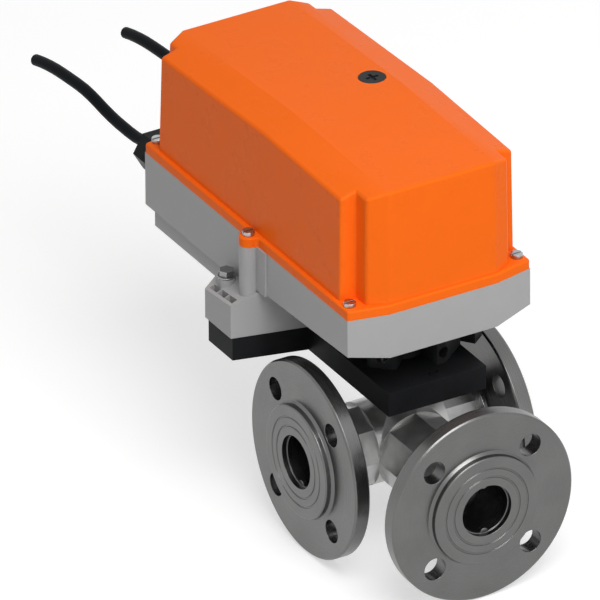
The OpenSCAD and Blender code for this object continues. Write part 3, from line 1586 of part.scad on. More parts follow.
valve_body();
flange_a();
flange_b();
flange_ab();
hub_seal_a();
hub_seal_b();
hub_seal_ab();
seat_a();
seat_b();
seat_ab();
seat_retainer_a();
seat_retainer_b();
seat_retainer_ab();
ball();
stem();
stem_thrust_washer();
stem_packing();
packing_gland_nut();
bracket_plate();
pad_bolts();
adapter();
adapter_screws();
drive_coupling();
housing();
hood_gasket();
hood();
cover_screws();
ear_bolt();
ear_washer();
override_plug();
gear_plate();
gear_plate_screws();
top_plate();
top_plate_pillars();
top_plate_screws();
output_bush();
output_shaft();
output_gear();
stop_pin();
gear_axles();
second_gear();
first_gear();
override_shaft();
drive_motor();
motor_screws();
motor_pinion();
circuit_board();
board_pillars();
terminal_block();
capacitors();
transformer();
gland_bodies();
gland_seals();
gland_dome_nuts();
gland_lock_nuts();
cable_ends_inside();
cable_left();
cable_right();
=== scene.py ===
# %% [markdown]
# A motorised three-way ball valve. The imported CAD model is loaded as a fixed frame. Each visible piece is then
# given softer edges and a real finish, or is modelled again by hand where the plain solid looks too hard.
# The frame is in metres with its Z axis up. Where a cell gives millimetres, MM turns them into metres.

# %% The fixed frame
import json
import math

import bmesh
import bpy
from mathutils import Matrix, Vector


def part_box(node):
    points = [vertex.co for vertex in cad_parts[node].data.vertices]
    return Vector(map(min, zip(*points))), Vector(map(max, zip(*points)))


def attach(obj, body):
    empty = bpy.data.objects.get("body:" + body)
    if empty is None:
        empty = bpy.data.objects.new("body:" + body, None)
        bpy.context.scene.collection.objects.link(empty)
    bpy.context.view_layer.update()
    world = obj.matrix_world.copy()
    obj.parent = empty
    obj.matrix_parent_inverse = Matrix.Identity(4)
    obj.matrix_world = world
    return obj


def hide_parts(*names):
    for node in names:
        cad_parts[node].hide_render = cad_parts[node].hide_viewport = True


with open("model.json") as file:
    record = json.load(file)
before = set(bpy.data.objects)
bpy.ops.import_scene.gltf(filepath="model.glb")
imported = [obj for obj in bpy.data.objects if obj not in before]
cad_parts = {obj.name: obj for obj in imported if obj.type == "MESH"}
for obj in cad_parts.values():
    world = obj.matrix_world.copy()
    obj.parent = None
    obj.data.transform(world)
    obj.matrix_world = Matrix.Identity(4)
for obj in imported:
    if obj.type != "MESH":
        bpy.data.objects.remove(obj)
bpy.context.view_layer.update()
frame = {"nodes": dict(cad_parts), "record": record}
NODES = frame["nodes"]
BODIES = frame["record"]["behaviour"]["bodies"]
BODY_OF = {node: body for body, nodes in BODIES.items() for node in nodes}

# %% [markdown]
# The camera. The photograph's parallel lines hardly converge, as in a picture taken from far away with a long
# lens, so the camera stands 16.5 m off. Its place could be set by eye, but it is worked out from the angles, so
# that the middle of the ball, where the ports' axes meet, falls on the pixel where the photograph has it.

# %% Camera
MM = 0.001
STEM_MM = 105
STEM_Y = STEM_MM * MM
AZIMUTH, ELEVATION, ROLL = (math.radians(a) for a in (-30.015, 29.467, -0.413))
DISTANCE = 16.5
FOCAL_PX = 1732.95 * DISTANCE
METRES_PER_PX = DISTANCE / FOCAL_PX
PICTURE_PX = 600
SENSOR_MM = 36.0
BALL_PX = (394.649, 433.132)
CLIP_START, CLIP_END = 1, 200

back = Vector((
    math.sin(AZIMUTH) * math.cos(ELEVATION),
    -math.cos(AZIMUTH) * math.cos(ELEVATION),
    math.sin(ELEVATION),
))
level = Vector((math.cos(AZIMUTH), math.sin(AZIMUTH), 0))
upright = back.cross(level)
right = level * math.cos(ROLL) + upright * math.sin(ROLL)
up = upright * math.cos(ROLL) - level * math.sin(ROLL)
place = Vector((0, STEM_Y, 0)) + back * DISTANCE
rise = up * (BALL_PX[1] - PICTURE_PX / 2) * METRES_PER_PX
shift = right * (BALL_PX[0] - PICTURE_PX / 2) * METRES_PER_PX
place += rise - shift

bpy.ops.object.camera_add(location=place)
camera = bpy.context.object
camera.name = "camera"
camera.rotation_euler = Matrix((right, up, back)).transposed().to_euler()
camera.data.sensor_width = SENSOR_MM
camera.data.lens = FOCAL_PX / PICTURE_PX * SENSOR_MM
camera.data.clip_start, camera.data.clip_end = CLIP_START, CLIP_END
bpy.context.scene.camera = camera
print("camera at", tuple(round(c, 2) for c in place), "lens", round(camera.data.lens))

# %% [markdown]
# Small helpers that do what a hand does in the viewport: pick one object alone, apply its place, and use up a
# modifier. Every piece ends at the origin with its place in its mesh, as the CAD nodes do.

# %% Helpers for picking and applying
def deselect():
    if bpy.context.object and bpy.context.object.mode != "OBJECT":
        bpy.ops.object.mode_set(mode="OBJECT")
    bpy.ops.object.select_all(action="DESELECT")


def pick(obj):
    deselect()
    obj.select_set(True)
    bpy.context.view_layer.objects.active = obj


def settle(obj):
    """Moves an object's place into its mesh, so that the object sits at the origin."""
    pick(obj)
    bpy.ops.object.transform_apply(location=True, rotation=True, scale=True)
    return obj


def use(obj, kind, **settings):
    """Adds a modifier, sets it and applies it."""
    pick(obj)
    modifier = obj.modifiers.new(kind.title(), kind)
    for key, value in settings.items():
        setattr(modifier, key, value)
    bpy.ops.object.modifier_apply(modifier=modifier.name)


# %% [markdown]
# An operator such as bevel works on what is selected. By hand one would click the edges. Here they are chosen
# by where they are and how they lie, so that every run makes the same choice.

# %% Helpers for choosing faces and edges
def choose(obj, kind, test):
    """Enters edit mode with only those vertices, edges or faces selected that pass the test."""
    pick(obj)
    bpy.ops.object.mode_set(mode="EDIT")
    bpy.ops.mesh.select_mode(type={"verts": "VERT", "edges": "EDGE", "faces": "FACE"}[kind])
    mesh = bmesh.from_edit_mesh(obj.data)
    mesh.normal_update()
    for part in (mesh.verts, mesh.edges, mesh.faces):
        for item in part:
            item.select = False
    for item in [item for item in getattr(mesh, kind) if test(item)]:
        item.select_set(True)
    mesh.select_flush_mode()
    bmesh.update_edit_mesh(obj.data)


def leave():
    bpy.ops.object.mode_set(mode="OBJECT")


def middle(edge):
    return (edge.verts[0].co + edge.verts[1].co) / 2


def fold(edge):
    """Angle between an edge's two faces, in degrees: 0 where they are in one plane."""
    return math.degrees(edge.calc_face_angle(0)) if len(edge.link_faces) == 2 else 180.0


def upright_edge(edge, share=0.9):
    """True where the edge's rise is more than that share of its length."""
    return abs(edge.verts[0].co.z - edge.verts[1].co.z) > share * edge.calc_length()


# %% [markdown]
# Shading of edges. A cast or moulded face is flat across, and its rounded edge is a narrow strip that catches the
# light. Weighted normals do just that: broad faces stay flat and narrow strips are shaded softly. Smooth shading
# alone would bend the light across the whole face. The crease between two broad faces is marked sharp.

# %% Helper for soft shading
BROAD = 1.6 * MM
ALWAYS_SHARP = 62.0


def breadth(face):
    return 2 * face.calc_area() / max(face.calc_perimeter(), 1e-9)


def finish_shading(obj, crease=7.0, broad=BROAD):
    """Marks the crisp creases and shades the rest softly."""
    def crisp(edge):
        between_broad = fold(edge) > crease and all(breadth(f) > broad for f in edge.link_faces)
        return fold(edge) > ALWAYS_SHARP or between_broad

    choose(obj, "edges", crisp)
    bpy.ops.mesh.mark_sharp()
    leave()
    pick(obj)
    bpy.ops.object.shade_smooth()
    use(obj, "WEIGHTED_NORMAL", mode="FACE_AREA", weight=60, keep_sharp=True)


# %% [markdown]
# Bevelled copies of CAD nodes. A real edge is never perfectly sharp, and the thin bright line on it is what the
# eye takes for metal or moulded plastic. The CAD copy is cleaned of its extra triangles first, because a bevel
# needs whole faces to run along. Each edge's width is kept as a weight, so that one bevel does them all.

# %% Helpers for bevelled copies
SAME_POINT = 0.001 * MM
FLAT_FOLD = math.radians(0.4)


def clean_copy(node):
    """A copy of a CAD node with its points joined and its flat faces made whole."""
    piece = bpy.data.objects.new(node + "_finished", NODES[node].data.copy())
    bpy.context.scene.collection.objects.link(piece)
    pick(piece)
    bpy.ops.mesh.customdata_custom_splitnormals_clear()
    choose(piece, "verts", lambda v: True)
    bpy.ops.mesh.select_all(action="SELECT")
    bpy.ops.mesh.remove_doubles(threshold=SAME_POINT)
    bpy.ops.mesh.dissolve_limited(angle_limit=FLAT_FOLD)
    leave()
    return piece


def weigh_edges(piece, width, least, wide):
    """Writes each edge's share of the widest bevel as its weight, and returns that widest bevel."""
    if "bevel_weight_edge" not in piece.data.attributes:
        piece.data.attributes.new("bevel_weight_edge", "FLOAT", "EDGE")
    mesh = bmesh.new()
    mesh.from_mesh(piece.data)
    weight = mesh.edges.layers.float["bevel_weight_edge"]
    widths = {}
    for edge in mesh.edges:
        if fold(edge) >= least and len(edge.link_faces) == 2:
            widths[edge.index] = wide(edge) if wide else width
    largest = max(widths.values())
    for edge in mesh.edges:
        edge[weight] = widths.get(edge.index, 0.0) / largest
    mesh.to_mesh(piece.data)
    mesh.free()
    return largest


def softened(node, width=0.5 * MM, segments=2, least=28.0, wide=None):
    """A bevelled copy that takes a CAD node's place. wide gives the bevel's width at one edge."""
    piece = clean_copy(node)
    largest = weigh_edges(piece, width, least, wide)
    use(piece, "BEVEL", width=largest, segments=segments, limit_method="WEIGHT", use_clamp_overlap=True,
        miter_outer="MITER_SHARP", offset_type="OFFSET")
    finish_shading(piece)
    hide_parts(node)
    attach(piece, BODY_OF[node])
    print(piece.name, "faces", len(piece.data.polygons))
    return piece


# %% [markdown]
# Building blocks of the finishes. All patterns are noise in object coordinates, so they stay on the piece when
# the camera or a joint moves. Noise drives the colour through a ramp and the roughness through a map range, and
# a much finer noise gives the grain as a bump.

# %% Helpers for material nodes
def new_finish(name):
    material = bpy.data.materials.new(name)
    material.use_nodes = True
    tree = material.node_tree
    place_node = tree.nodes.new("ShaderNodeTexCoord")
    return material, tree, tree.nodes["Principled BSDF"], place_node.outputs["Object"]


def noise(tree, vector, scale, detail=3.0, rough=0.5):
    node = tree.nodes.new("ShaderNodeTexNoise")
    node.inputs["Scale"].default_value = scale
    node.inputs["Detail"].default_value = detail
    node.inputs["Roughness"].default_value = rough
    tree.links.new(vector, node.inputs["Vector"])
    return node.outputs["Fac"]


def spread(tree, value, low, high, start=0.3, end=0.7):
    node = tree.nodes.new("ShaderNodeMapRange")
    for key, number in (("From Min", start), ("From Max", end), ("To Min", low), ("To Max", high)):
        node.inputs[key].default_value = number
    tree.links.new(value, node.inputs["Value"])
    return node.outputs["Result"]


def tint(tree, value, colour, vary, start=0.3, end=0.7):
    """A ramp from the colour a share darker to the colour a share lighter."""
    node = tree.nodes.new("ShaderNodeValToRGB")
    dark, light = node.color_ramp.elements
    dark.position, light.position = start, end
    dark.color = (*[c * (1 - vary) for c in colour], 1)
    light.color = (*[min(1.0, c * (1 + vary)) for c in colour], 1)
    tree.links.new(value, node.inputs["Fac"])
    return node.outputs["Color"]


def bump(tree, shader, height, strength, distance):
    node = tree.nodes.new("ShaderNodeBump")
    node.inputs["Strength"].default_value = strength
    node.inputs["Distance"].default_value = distance
    tree.links.new(height, node.inputs["Height"])
    tree.links.new(node.outputs["Normal"], shader.inputs["Normal"])


# %% [markdown]
# The common finish: a coat, a moulding or a casting. On the real pieces the colour is even from afar, and close
# up it drifts from patch to patch and has a fine grain from the mould or the powder. Two noises of very
# different size give that; an image would need an unwrapped piece and would show its pixels.

# %% Coats, mouldings and castings
def plain_finish(name, colour, roughness, vary=0.05, grain=900, grain_depth=0.02 * MM, patch=60, metallic=0.0,
                 specular=0.5, rough_vary=0.05, strength=0.5):
    """Colour and roughness that drift a little from patch to patch, over a fine grain."""
    material, tree, shader, vector = new_finish(name)
    shader.inputs["Metallic"].default_value = metallic
    shader.inputs["Specular IOR Level"].default_value = specular
    patches = noise(tree, vector, patch, 4.0)
    tree.links.new(tint(tree, patches, colour, vary), shader.inputs["Base Color"])
    rough = spread(tree, patches, roughness - rough_vary, roughness + rough_vary)
    tree.links.new(rough, shader.inputs["Roughness"])
    bump(tree, shader, noise(tree, vector, grain, 2.0), strength, grain_depth)
    return material


# %% [markdown]
# The flanges are turned on a lathe, and the tool leaves fine rings round the axis of the port. The distance from
# that axis, plus the way along it, drives a noise in one dimension, so the rings run round the faces and the
# rims alike. A ring pattern of even lines would look like a gramophone record.

# %% Turned metal
def turned_finish(name, colour, roughness, centre, axis, pitch=2600, vary=0.06):
    """Metal turned on a lathe: fine rings round an axis through a centre."""
    material, tree, shader, vector = new_finish(name)
    shader.inputs["Metallic"].default_value = 1.0
    shift = tree.nodes.new("ShaderNodeMapping")
    shift.inputs["Location"].default_value = [-c for c in centre]
    tree.links.new(vector, shift.inputs["Vector"])
    flat = tree.nodes.new("ShaderNodeVectorMath")
    flat.operation = "MULTIPLY"
    flat.inputs[1].default_value = [0.0 if a else 1.0 for a in axis]
    tree.links.new(shift.outputs["Vector"], flat.inputs[0])
    away = tree.nodes.new("ShaderNodeVectorMath")
    away.operation = "LENGTH"
    tree.links.new(flat.outputs["Vector"], away.inputs[0])
    along = tree.nodes.new("ShaderNodeVectorMath")
    along.operation = "DOT_PRODUCT"
    along.inputs[1].default_value = axis
    tree.links.new(shift.outputs["Vector"], along.inputs[0])
    add = tree.nodes.new("ShaderNodeMath")
    add.operation = "ADD"
    tree.links.new(away.outputs["Value"], add.inputs[0])
    tree.links.new(along.outputs["Value"], add.inputs[1])
    ring = tree.nodes.new("ShaderNodeTexNoise")
    ring.noise_dimensions = "1D"
    ring.inputs["Scale"].default_value = pitch
    ring.inputs["Detail"].default_value = 3.0
    tree.links.new(add.outputs["Value"], ring.inputs["W"])
    tree.links.new(tint(tree, noise(tree, vector, 45), colour, vary), shader.inputs["Base Color"])
    rough = spread(tree, ring.outputs["Fac"], roughness - 0.06, roughness + 0.08)
    tree.links.new(rough, shader.inputs["Roughness"])
    bump(tree, shader, ring.outputs["Fac"], 0.25, 0.03 * MM)
    return material


# %% [markdown]
# Metals. The valve's body is cast stainless steel, so its patches vary most. Its colour is painted much lighter
# than the flanges' steel: painted light that makes up for the actuator's shade and the dark flanges it reflects.
# The flanges look darker in the photograph, so they get a darker colour, which is painted shade standing in for
# their darker reflections, and the rings of the lathe. The screws look zinc-plated, and the ear's bolt is duller
# than the small ones.

# %% Metal finishes
# Painted shade: the flanges' steel is far darker than the body's, though both are one stainless.
TURNED_GREY_PAINTED_SHADE = (0.152, 0.152, 0.15)
BALL_CENTRE = (0, STEM_Y, 0)

# Painted light: the body's steel is made light to make up for the shade of the actuator over it.
steel_cast_painted_light = plain_finish("cast_stainless_painted_light", (0.55, 0.55, 0.545), 0.36, vary=0.16, grain=700,
                          grain_depth=0.06 * MM, patch=90, metallic=1.0)
steel_turned_run = turned_finish("turned_stainless_run_painted_shade", TURNED_GREY_PAINTED_SHADE, 0.3, BALL_CENTRE, (1, 0, 0))
steel_turned_branch = turned_finish("turned_stainless_branch_painted_shade", TURNED_GREY_PAINTED_SHADE, 0.3, BALL_CENTRE, (0, 1, 0))
zinc = plain_finish("bright_zinc", (0.42, 0.43, 0.44), 0.28, vary=0.08, grain=1500, metallic=1.0)
dull_zinc = plain_finish("dull_zinc", (0.3, 0.3, 0.305), 0.36, vary=0.1, grain=1300, metallic=1.0)
print("metals", len(bpy.data.materials))

# %% [markdown]
# Coats and mouldings. The housing is a coated die casting, the bracket and the adapter are coated black, and the
# hood, plug, glands and cable sheaths are plastic. In the photograph their colour is strong and their gloss low,
# so their specular level is far below the default. A higher one washed the orange out. The rubber of the seals
# hardly shows and keeps the default.

# %% Coats and mouldings
bracket_black = plain_finish("bracket_coat", (0.0125, 0.013, 0.0142), 0.42, vary=0.15, grain=1400,
                             grain_depth=0.03 * MM, specular=0.05)
adapter_black = plain_finish("adapter_coat", (0.019, 0.0197, 0.021), 0.4, vary=0.15, grain=1400,
                             grain_depth=0.03 * MM, specular=0.1)
housing_grey = plain_finish("die_cast_coat", (0.405, 0.405, 0.405), 0.4, vary=0.02, grain=1800, specular=0.15)
hood_orange = plain_finish("orange_moulding", (0.96, 0.154, 0.009), 0.3, vary=0.012, grain=1600, specular=0.05)
plug_black = plain_finish("plug_moulding", (0.02, 0.021, 0.022), 0.38, vary=0.12, grain=1500, specular=0.1)
gland_black = plain_finish("gland_moulding", (0.0075, 0.008, 0.009), 0.4, vary=0.15, grain=1300,
                           grain_depth=0.03 * MM, specular=0.08)
cable_black = plain_finish("cable_sheath", (0.0055, 0.0072, 0.009), 0.42, vary=0.2, grain=1100,
                           grain_depth=0.04 * MM, specular=0.03)
seal_black = plain_finish("seal_rubber", (0.014, 0.014, 0.015), 0.7, vary=0.1, grain=900, grain_depth=0.04 * MM)
print("materials", len(bpy.data.materials))

# %% [markdown]
# The pieces inside the valve and the case hardly show, but they get likely materials for whoever opens it:
# machined steel and brass in the gear train, a polished ball in plastic seats, a grey motor, a green board with
# its parts, and the varnished winding of the transformer.

# %% Finishes inside the case
machined = plain_finish("machined_steel", (0.5, 0.51, 0.52), 0.32, grain=1200, metallic=1.0)
brass = plain_finish("machined_brass", (0.7, 0.52, 0.25), 0.3, vary=0.06, grain=1200, metallic=1.0)
polished = plain_finish("polished_ball", (0.72, 0.72, 0.73), 0.12, vary=0.02, grain=600,
                        grain_depth=0.01 * MM, metallic=1.0)
white_seat = plain_finish("sealing_plastic", (0.82, 0.82, 0.79), 0.45, vary=0.03, grain=700)
motor_grey = plain_finish("motor_can", (0.16, 0.17, 0.18), 0.4, vary=0.08, grain=1200, metallic=0.6)
board_green = plain_finish("solder_mask", (0.02, 0.16, 0.06), 0.32, vary=0.2, grain=500, patch=300)
terminal_green = plain_finish("terminal_moulding", (0.07, 0.34, 0.16), 0.35)
capacitor_blue = plain_finish("capacitor_sleeve", (0.03, 0.045, 0.12), 0.25, vary=0.06, grain=500)
winding_brown = plain_finish("varnished_winding", (0.28, 0.12, 0.03), 0.35, vary=0.25, grain=2500,
                             grain_depth=0.1 * MM, patch=400)
print("materials", len(bpy.data.materials))

# %% [markdown]
# Every CAD node is dressed by the material slot that the record gives it, so no piece is left bare. The three
# flanges share the body's slot but are turned, so they get the turned finish with rings round their own axis.

# %% Dressing the CAD nodes
SLOT_FINISH = {
    "stainless": steel_cast_painted_light, "ball_polished": polished, "stem_steel": machined, "seat_white": white_seat,
    "seal_black": seal_black, "bracket_black": bracket_black, "adapter_black": adapter_black, "screw_zinc": zinc,
    "gear_steel": machined, "gear_brass": brass, "housing_grey": housing_grey, "hood_orange": hood_orange,
    "plug_black": plug_black, "motor_grey": motor_grey, "board_green": board_green,
    "terminal_green": terminal_green, "capacitor_blue": capacitor_blue, "winding_brown": winding_brown,
    "gland_black": gland_black, "cable_black": cable_black,
}
SLOT_OF = {sub["node"]: sub["material_slot"] for sub in frame["record"]["subparts"]}
FLANGE_FINISH = {"flange_a": steel_turned_run, "flange_b": steel_turned_run, "flange_ab": steel_turned_branch}


def dress(obj, material):
    """Puts one material on an object."""
    obj.data.materials.clear()
    obj.data.materials.append(material)


for node_name, node_object in NODES.items():
    dress(node_object, FLANGE_FINISH.get(node_name, SLOT_FINISH[SLOT_OF[node_name]]))
print("dressed", len(NODES))

# %% [markdown]
# The two cables leave the housing's back through glands, and end cut. Both follow one route: straight out, a
# shallow dip, a shallow rise and a bend down to the cut end. Its points were set to match the photograph,
# as the way back from the gland's mouth and the height over it, in millimetres. The mouths are in millimetres
# from the ball's middle. The photograph shows both cables whole, so the route's length is the cable's length.

# %% Route of the cables
CABLE_D = 7 * MM
GLAND_MOUTHS = {"cable_left": (-43.0, 205.6, 103.6), "cable_right": (18.4, 207.2, 103.6)}
ROUTE = [
    (0, 0), (5, 0), (11, -1.2), (17, -2.2), (25, -2.6), (38, -2.6), (46, -2.2), (54, -1.4), (62, -0.3), (69, 0.5),
    (77, 0.9), (85, 0.6), (94, -0.1), (103, -0.9), (111, -1.8), (119, -3.1), (127, -4.8), (134, -6.7),
]

# %% [markdown]
# A sheath is one round tube. It could be swept by extruding a circle step by step, but a curve with a round
# bevel gives an even tube along any route. Once it is a mesh, the rim of its cut end is rounded a little.

# %% Cables
CUT_ROUND = 1.1 * MM
CUT_REACH = 2.1 * MM
SHARP_RIM = 45.0


def cable(node, mouth):
    data = bpy.data.curves.new(node + "_sheath", "CURVE")
    data.dimensions = "3D"
    data.bevel_depth = CABLE_D / 2
    data.bevel_resolution = 6
    data.use_fill_caps = True
    spline = data.splines.new("POLY")
    spline.points.add(len(ROUTE) - 1)
    path = [mouth + Vector((0, y, z)) * MM for y, z in ROUTE]
    for point, co in zip(spline.points, path):
        point.co = (*co, 1)
    piece = bpy.data.objects.new(node + "_sheath", data)
    bpy.context.scene.collection.objects.link(piece)
    pick(piece)
    bpy.ops.object.convert(target="MESH")
    piece = bpy.context.object
    cut_start = path[-1].y - CUT_REACH
    choose(piece, "edges", lambda e: middle(e).y > cut_start and fold(e) > SHARP_RIM)
    bpy.ops.mesh.bevel(offset=CUT_ROUND, segments=3, affect="EDGES")
    leave()
    finish_shading(piece, crease=50)
    dress(piece, cable_black)
    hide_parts(node)
    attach(piece, "valve_and_actuator")
    print(piece.name, "faces", len(piece.data.polygons))


for cable_node, (mouth_x, mouth_y, mouth_z) in GLAND_MOUTHS.items():
    cable(cable_node, Vector((mouth_x, STEM_MM + mouth_y, mouth_z)) * MM)

# %% [markdown]
# The valve. Its flanges are turned, and its body is a casting with octagonal collars. Both could be modelled
# again, but the CAD shape is already right, so they keep it and get narrow bevels.

# %% Flanges and valve body
for flange, flange_finish in FLANGE_FINISH.items():
    dress(softened(flange), flange_finish)
dress(softened("valve_body", 0.4 * MM), steel_cast_painted_light)

# %% [markdown]
# The bracket is one thick flat plate with tight edges. The adapter has lobes and slightly rounder edges. Both
# are bevelled copies too, with one width for all edges, because neither has parts as fine as the housing's.

# %% Bracket plate and adapter
dress(softened("bracket_plate"), bracket_black)
dress(softened("adapter", 0.6 * MM), adapter_black)

# %% [markdown]
# The grey housing is a coated die casting. Its upright corners get the widest rounding and its other long edges
# a narrower one. The edge under the hood's rim and the small edges of the pocket in the ear stay nearly sharp.
# One width for all would be too wide for the pocket or too narrow for the corners.

# %% Housing
RIM_JOINT = 116 * MM
SHORT_EDGE = 2.5 * MM
JOINT_ROUND, SMALL_ROUND, CORNER_ROUND, LONG_ROUND = 0.35 * MM, 0.3 * MM, 1.3 * MM, 0.8 * MM


def housing_width(edge):
    """The bevel's width at one edge of the casting."""
    upright = upright_edge(edge, 0.8)
    if max(v.co.z for v in edge.verts) > RIM_JOINT and not upright:
        return JOINT_ROUND
    if not edge.is_convex or edge.calc_length() < SHORT_EDGE:
        return SMALL_ROUND
    return CORNER_ROUND if upright else LONG_ROUND


dress(softened("housing", wide=housing_width, segments=3), housing_grey)

# %% [markdown]
# The screws, the ear's bolt and washer, the plug and the glands. Their slots and hexagons are in the CAD solids
# already, so they only need softer edges. On the screws, the bolt and the plug only edges that fold by more than
# 50 degrees are rounded, which leaves their round sides untouched.

# %% Screws, plug and glands
TURNED_EDGE = 50.0
dress(softened("ear_washer", 0.25 * MM), dull_zinc)
dress(softened("ear_bolt", 0.45 * MM, 3, least=TURNED_EDGE), dull_zinc)
dress(softened("cover_screws", 0.4 * MM, 3, least=TURNED_EDGE), zinc)
dress(softened("override_plug", 0.35 * MM, 3, least=TURNED_EDGE), plug_black)
dress(softened("gland_bodies", 0.5 * MM), gland_black)
dress(softened("gland_dome_nuts", 0.9 * MM, 3), gland_black)

# %% [markdown]
# The hood is one thin moulding: a tapered cover with notched corners over its cover screws, a roof of six flat
# faces, and a rim with a lobe at each side screw. It could be a bevelled copy like the housing. It is modelled
# again by hand, so that the cover is rounded before it is hollowed and joined to its rim. Its measures are in
# millimetres from the stem's axis. Heights are over the ports' axis, and those ending in _H are over the rim.

# %% Measures of the hood
RIM_BOTTOM, RIM_TOP = 116.5, 122.5
HOOD_LOW, HOOD_HIGH, COVER_MIDDLE = 121.5, 200.0, 150.0
HOOD_X, NOTCH_X, STRIP_X = 58.0, 47.7, 35.7
FRONT_Y, FRONT_CORNER_Y, FRONT_NOTCH_Y = -55.0, -50.0, -38.0
BACK_Y, BACK_CORNER_Y, BACK_NOTCH_Y = 183.5, 178.5, 170.5
TAPER_X, TAPER_Y, TAPER_CENTRE_Y = 0.983, 0.985, -27.5
RIDGE_Y, RIDGE_H, FRONT_H, BACK_H, ROOF_FALL = 52.0, 74.4, 72.3, 67.7, 6.7
FRONT_SLOPE = (RIDGE_H - FRONT_H) / (RIDGE_Y - FRONT_Y)
BACK_SLOPE = (BACK_H - RIDGE_H) / (BACK_Y - RIDGE_Y)
SIDE_SLOPE = ROOF_FALL / (HOOD_X - STRIP_X)
HOOD_WALL, HOOD_ROUND = 3.0, 1.9
print("height of the ridge", RIM_TOP + RIDGE_H)

# %% [markdown]
# Outlines and prisms. The hood's plan is the same on both sides, so half of it is written and mirrored. The
# inside is the same plan drawn in by the wall. A plan becomes a solid as it does by hand: a flat face whose
# corners are moved to the plan's points, and then extruded upwards.

# %% Helpers for outlines and solids
def mirrored(points):
    """A half outline on the +X side, from front to back, joined with its mirror image."""
    return points + [(-x, y) for x, y in reversed(points)]


def inset(points, gap):
    """The outline drawn in by a gap, with its corners kept sharp."""
    drawn = []
    for i, here in enumerate(points):
        before, after = Vector(points[i - 1]), Vector(points[(i + 1) % len(points)])
        here = Vector(here)
        a, b = (here - before).normalized(), (after - here).normalized()
        na, nb = Vector((-a.y, a.x)), Vector((-b.y, b.x))
        drawn.append(tuple(here + (na + nb) * gap / (1 + na.dot(nb))))
    return drawn


def prism(name, points, low, high):
    """A flat outline, laid on a round face's vertices and extruded upwards."""
    bpy.ops.mesh.primitive_circle_add(vertices=len(points), radius=50 * MM, fill_type="NGON")
    piece = bpy.context.object
    piece.name = name
    for vertex, (x, y) in zip(piece.data.vertices, points):
        vertex.co = Vector((x, y, low)) * MM + Vector((0, STEM_Y, 0))
    choose(piece, "faces", lambda f: True)
    bpy.ops.mesh.extrude_region_move(TRANSFORM_OT_translate={"value": (0, 0, (high - low) * MM)})
    bpy.ops.mesh.select_all(action="SELECT")
    bpy.ops.mesh.normals_make_consistent(inside=False)
    leave()
    return settle(piece)


def rod(name, x, y, low, high, radius, sides=48):
    """An upright round rod."""
    bpy.ops.mesh.primitive_cylinder_add(
        vertices=sides, radius=radius * MM, depth=(high - low) * MM,
        location=(x * MM, y * MM + STEM_Y, (low + high) / 2 * MM))
    piece = bpy.context.object
    piece.name = name
    return settle(piece)


def combine(target, others, operation):
    """Joins others to the target or cuts them out of it, and uses them up."""
    for other in others:
        use(target, "BOOLEAN", operation=operation, solver="EXACT", object=other)
        bpy.data.objects.remove(other, do_unlink=True)


# %% [markdown]
# The cover is drawn in towards its top, as a moulding is, so that it leaves its mould. Then each face of the
# roof is one cut through the whole solid: a flat strip along the middle and a falling plane on each side, all
# broken at the ridge. A cut keeps a roof face truly flat, and moving the top's corners by hand might not.

# %% Cover under its roof planes
HOOD_PLAN = mirrored([
    (STRIP_X, FRONT_Y), (NOTCH_X, FRONT_CORNER_Y), (NOTCH_X, FRONT_NOTCH_Y), (HOOD_X, FRONT_NOTCH_Y),
    (HOOD_X, BACK_NOTCH_Y), (NOTCH_X, BACK_NOTCH_Y), (NOTCH_X, BACK_CORNER_Y), (STRIP_X, BACK_Y)])


def cover(name, plan, low, drop):
    """The tapered cover under its six roof planes, each lowered by a drop."""
    piece = prism(name, plan, low, HOOD_HIGH)
    choose(piece, "verts", lambda v: v.co.z > COVER_MIDDLE * MM)
    taper_centre = (0, TAPER_CENTRE_Y * MM + STEM_Y, HOOD_HIGH * MM)
    bpy.ops.transform.resize(value=(TAPER_X, TAPER_Y, 1), center_override=taper_centre)
    leave()
    for side in (0, -1, 1):
        for slope in (FRONT_SLOPE, BACK_SLOPE):
            pick(piece)
            bpy.ops.object.mode_set(mode="EDIT")
            bpy.ops.mesh.select_all(action="SELECT")
            bpy.ops.mesh.bisect(
                plane_co=(side * STRIP_X * MM, RIDGE_Y * MM + STEM_Y, (RIM_TOP + RIDGE_H - drop) * MM),
                plane_no=Vector((side * SIDE_SLOPE, -slope, 1)).normalized(),
                use_fill=True, clear_outer=True)
            leave()
    return piece


hood = cover("hood_moulding", HOOD_PLAN, HOOD_LOW, 0)
print("cover faces", len(hood.data.polygons))

# %% [markdown]
# The roundings of the cover. The roof's outer edges and the upright corners are rounded in one go, so that they
# run into each other at the corners. The creases between the roof's own faces stay crisp.

# %% Roundings of the cover
UPRIGHT_FOLD = 40.0
ROOF_LOW = 130 * MM


def roof_edge(edge):
    """True where a roof face meets a wall."""
    tops = [f.normal.z > 0.8 for f in edge.link_faces]
    return len(tops) == 2 and any(tops) and not all(tops)


choose(hood, "edges", lambda e: middle(e).z > ROOF_LOW and roof_edge(e)
       or upright_edge(e) and fold(e) > UPRIGHT_FOLD)
bpy.ops.mesh.bevel(offset=HOOD_ROUND * MM, segments=4, affect="EDGES", clamp_overlap=True)
leave()
print("cover faces", len(hood.data.polygons))

# %% [markdown]
# The rim runs round the hood's foot and swells into a round lobe over each side screw, with a small fillet where
# the lobe leaves the straight. Discs could be joined to a plain rim, but here the whole outline, lobes and
# fillets too, is drawn in one plan and extruded once, so that its top edge can be rounded in one go.

# %% Outline of the rim
LOBE_X, LOBE_Y, LOBE_R, NECK_R, RIM_X = 63.4, 57.0, 5.8, 2.0, 60.8
RIM_FRONT, RIM_FRONT_CORNER = -56.8, -51.3
RIM_BACK, RIM_BACK_CORNER = 186.5, 181.0


def arc(x, y, radius, start, end, steps):
    angles = [math.radians(start + (end - start) * i / steps) for i in range(steps + 1)]
    return [(x + radius * math.cos(a), y + radius * math.sin(a)) for a in angles]


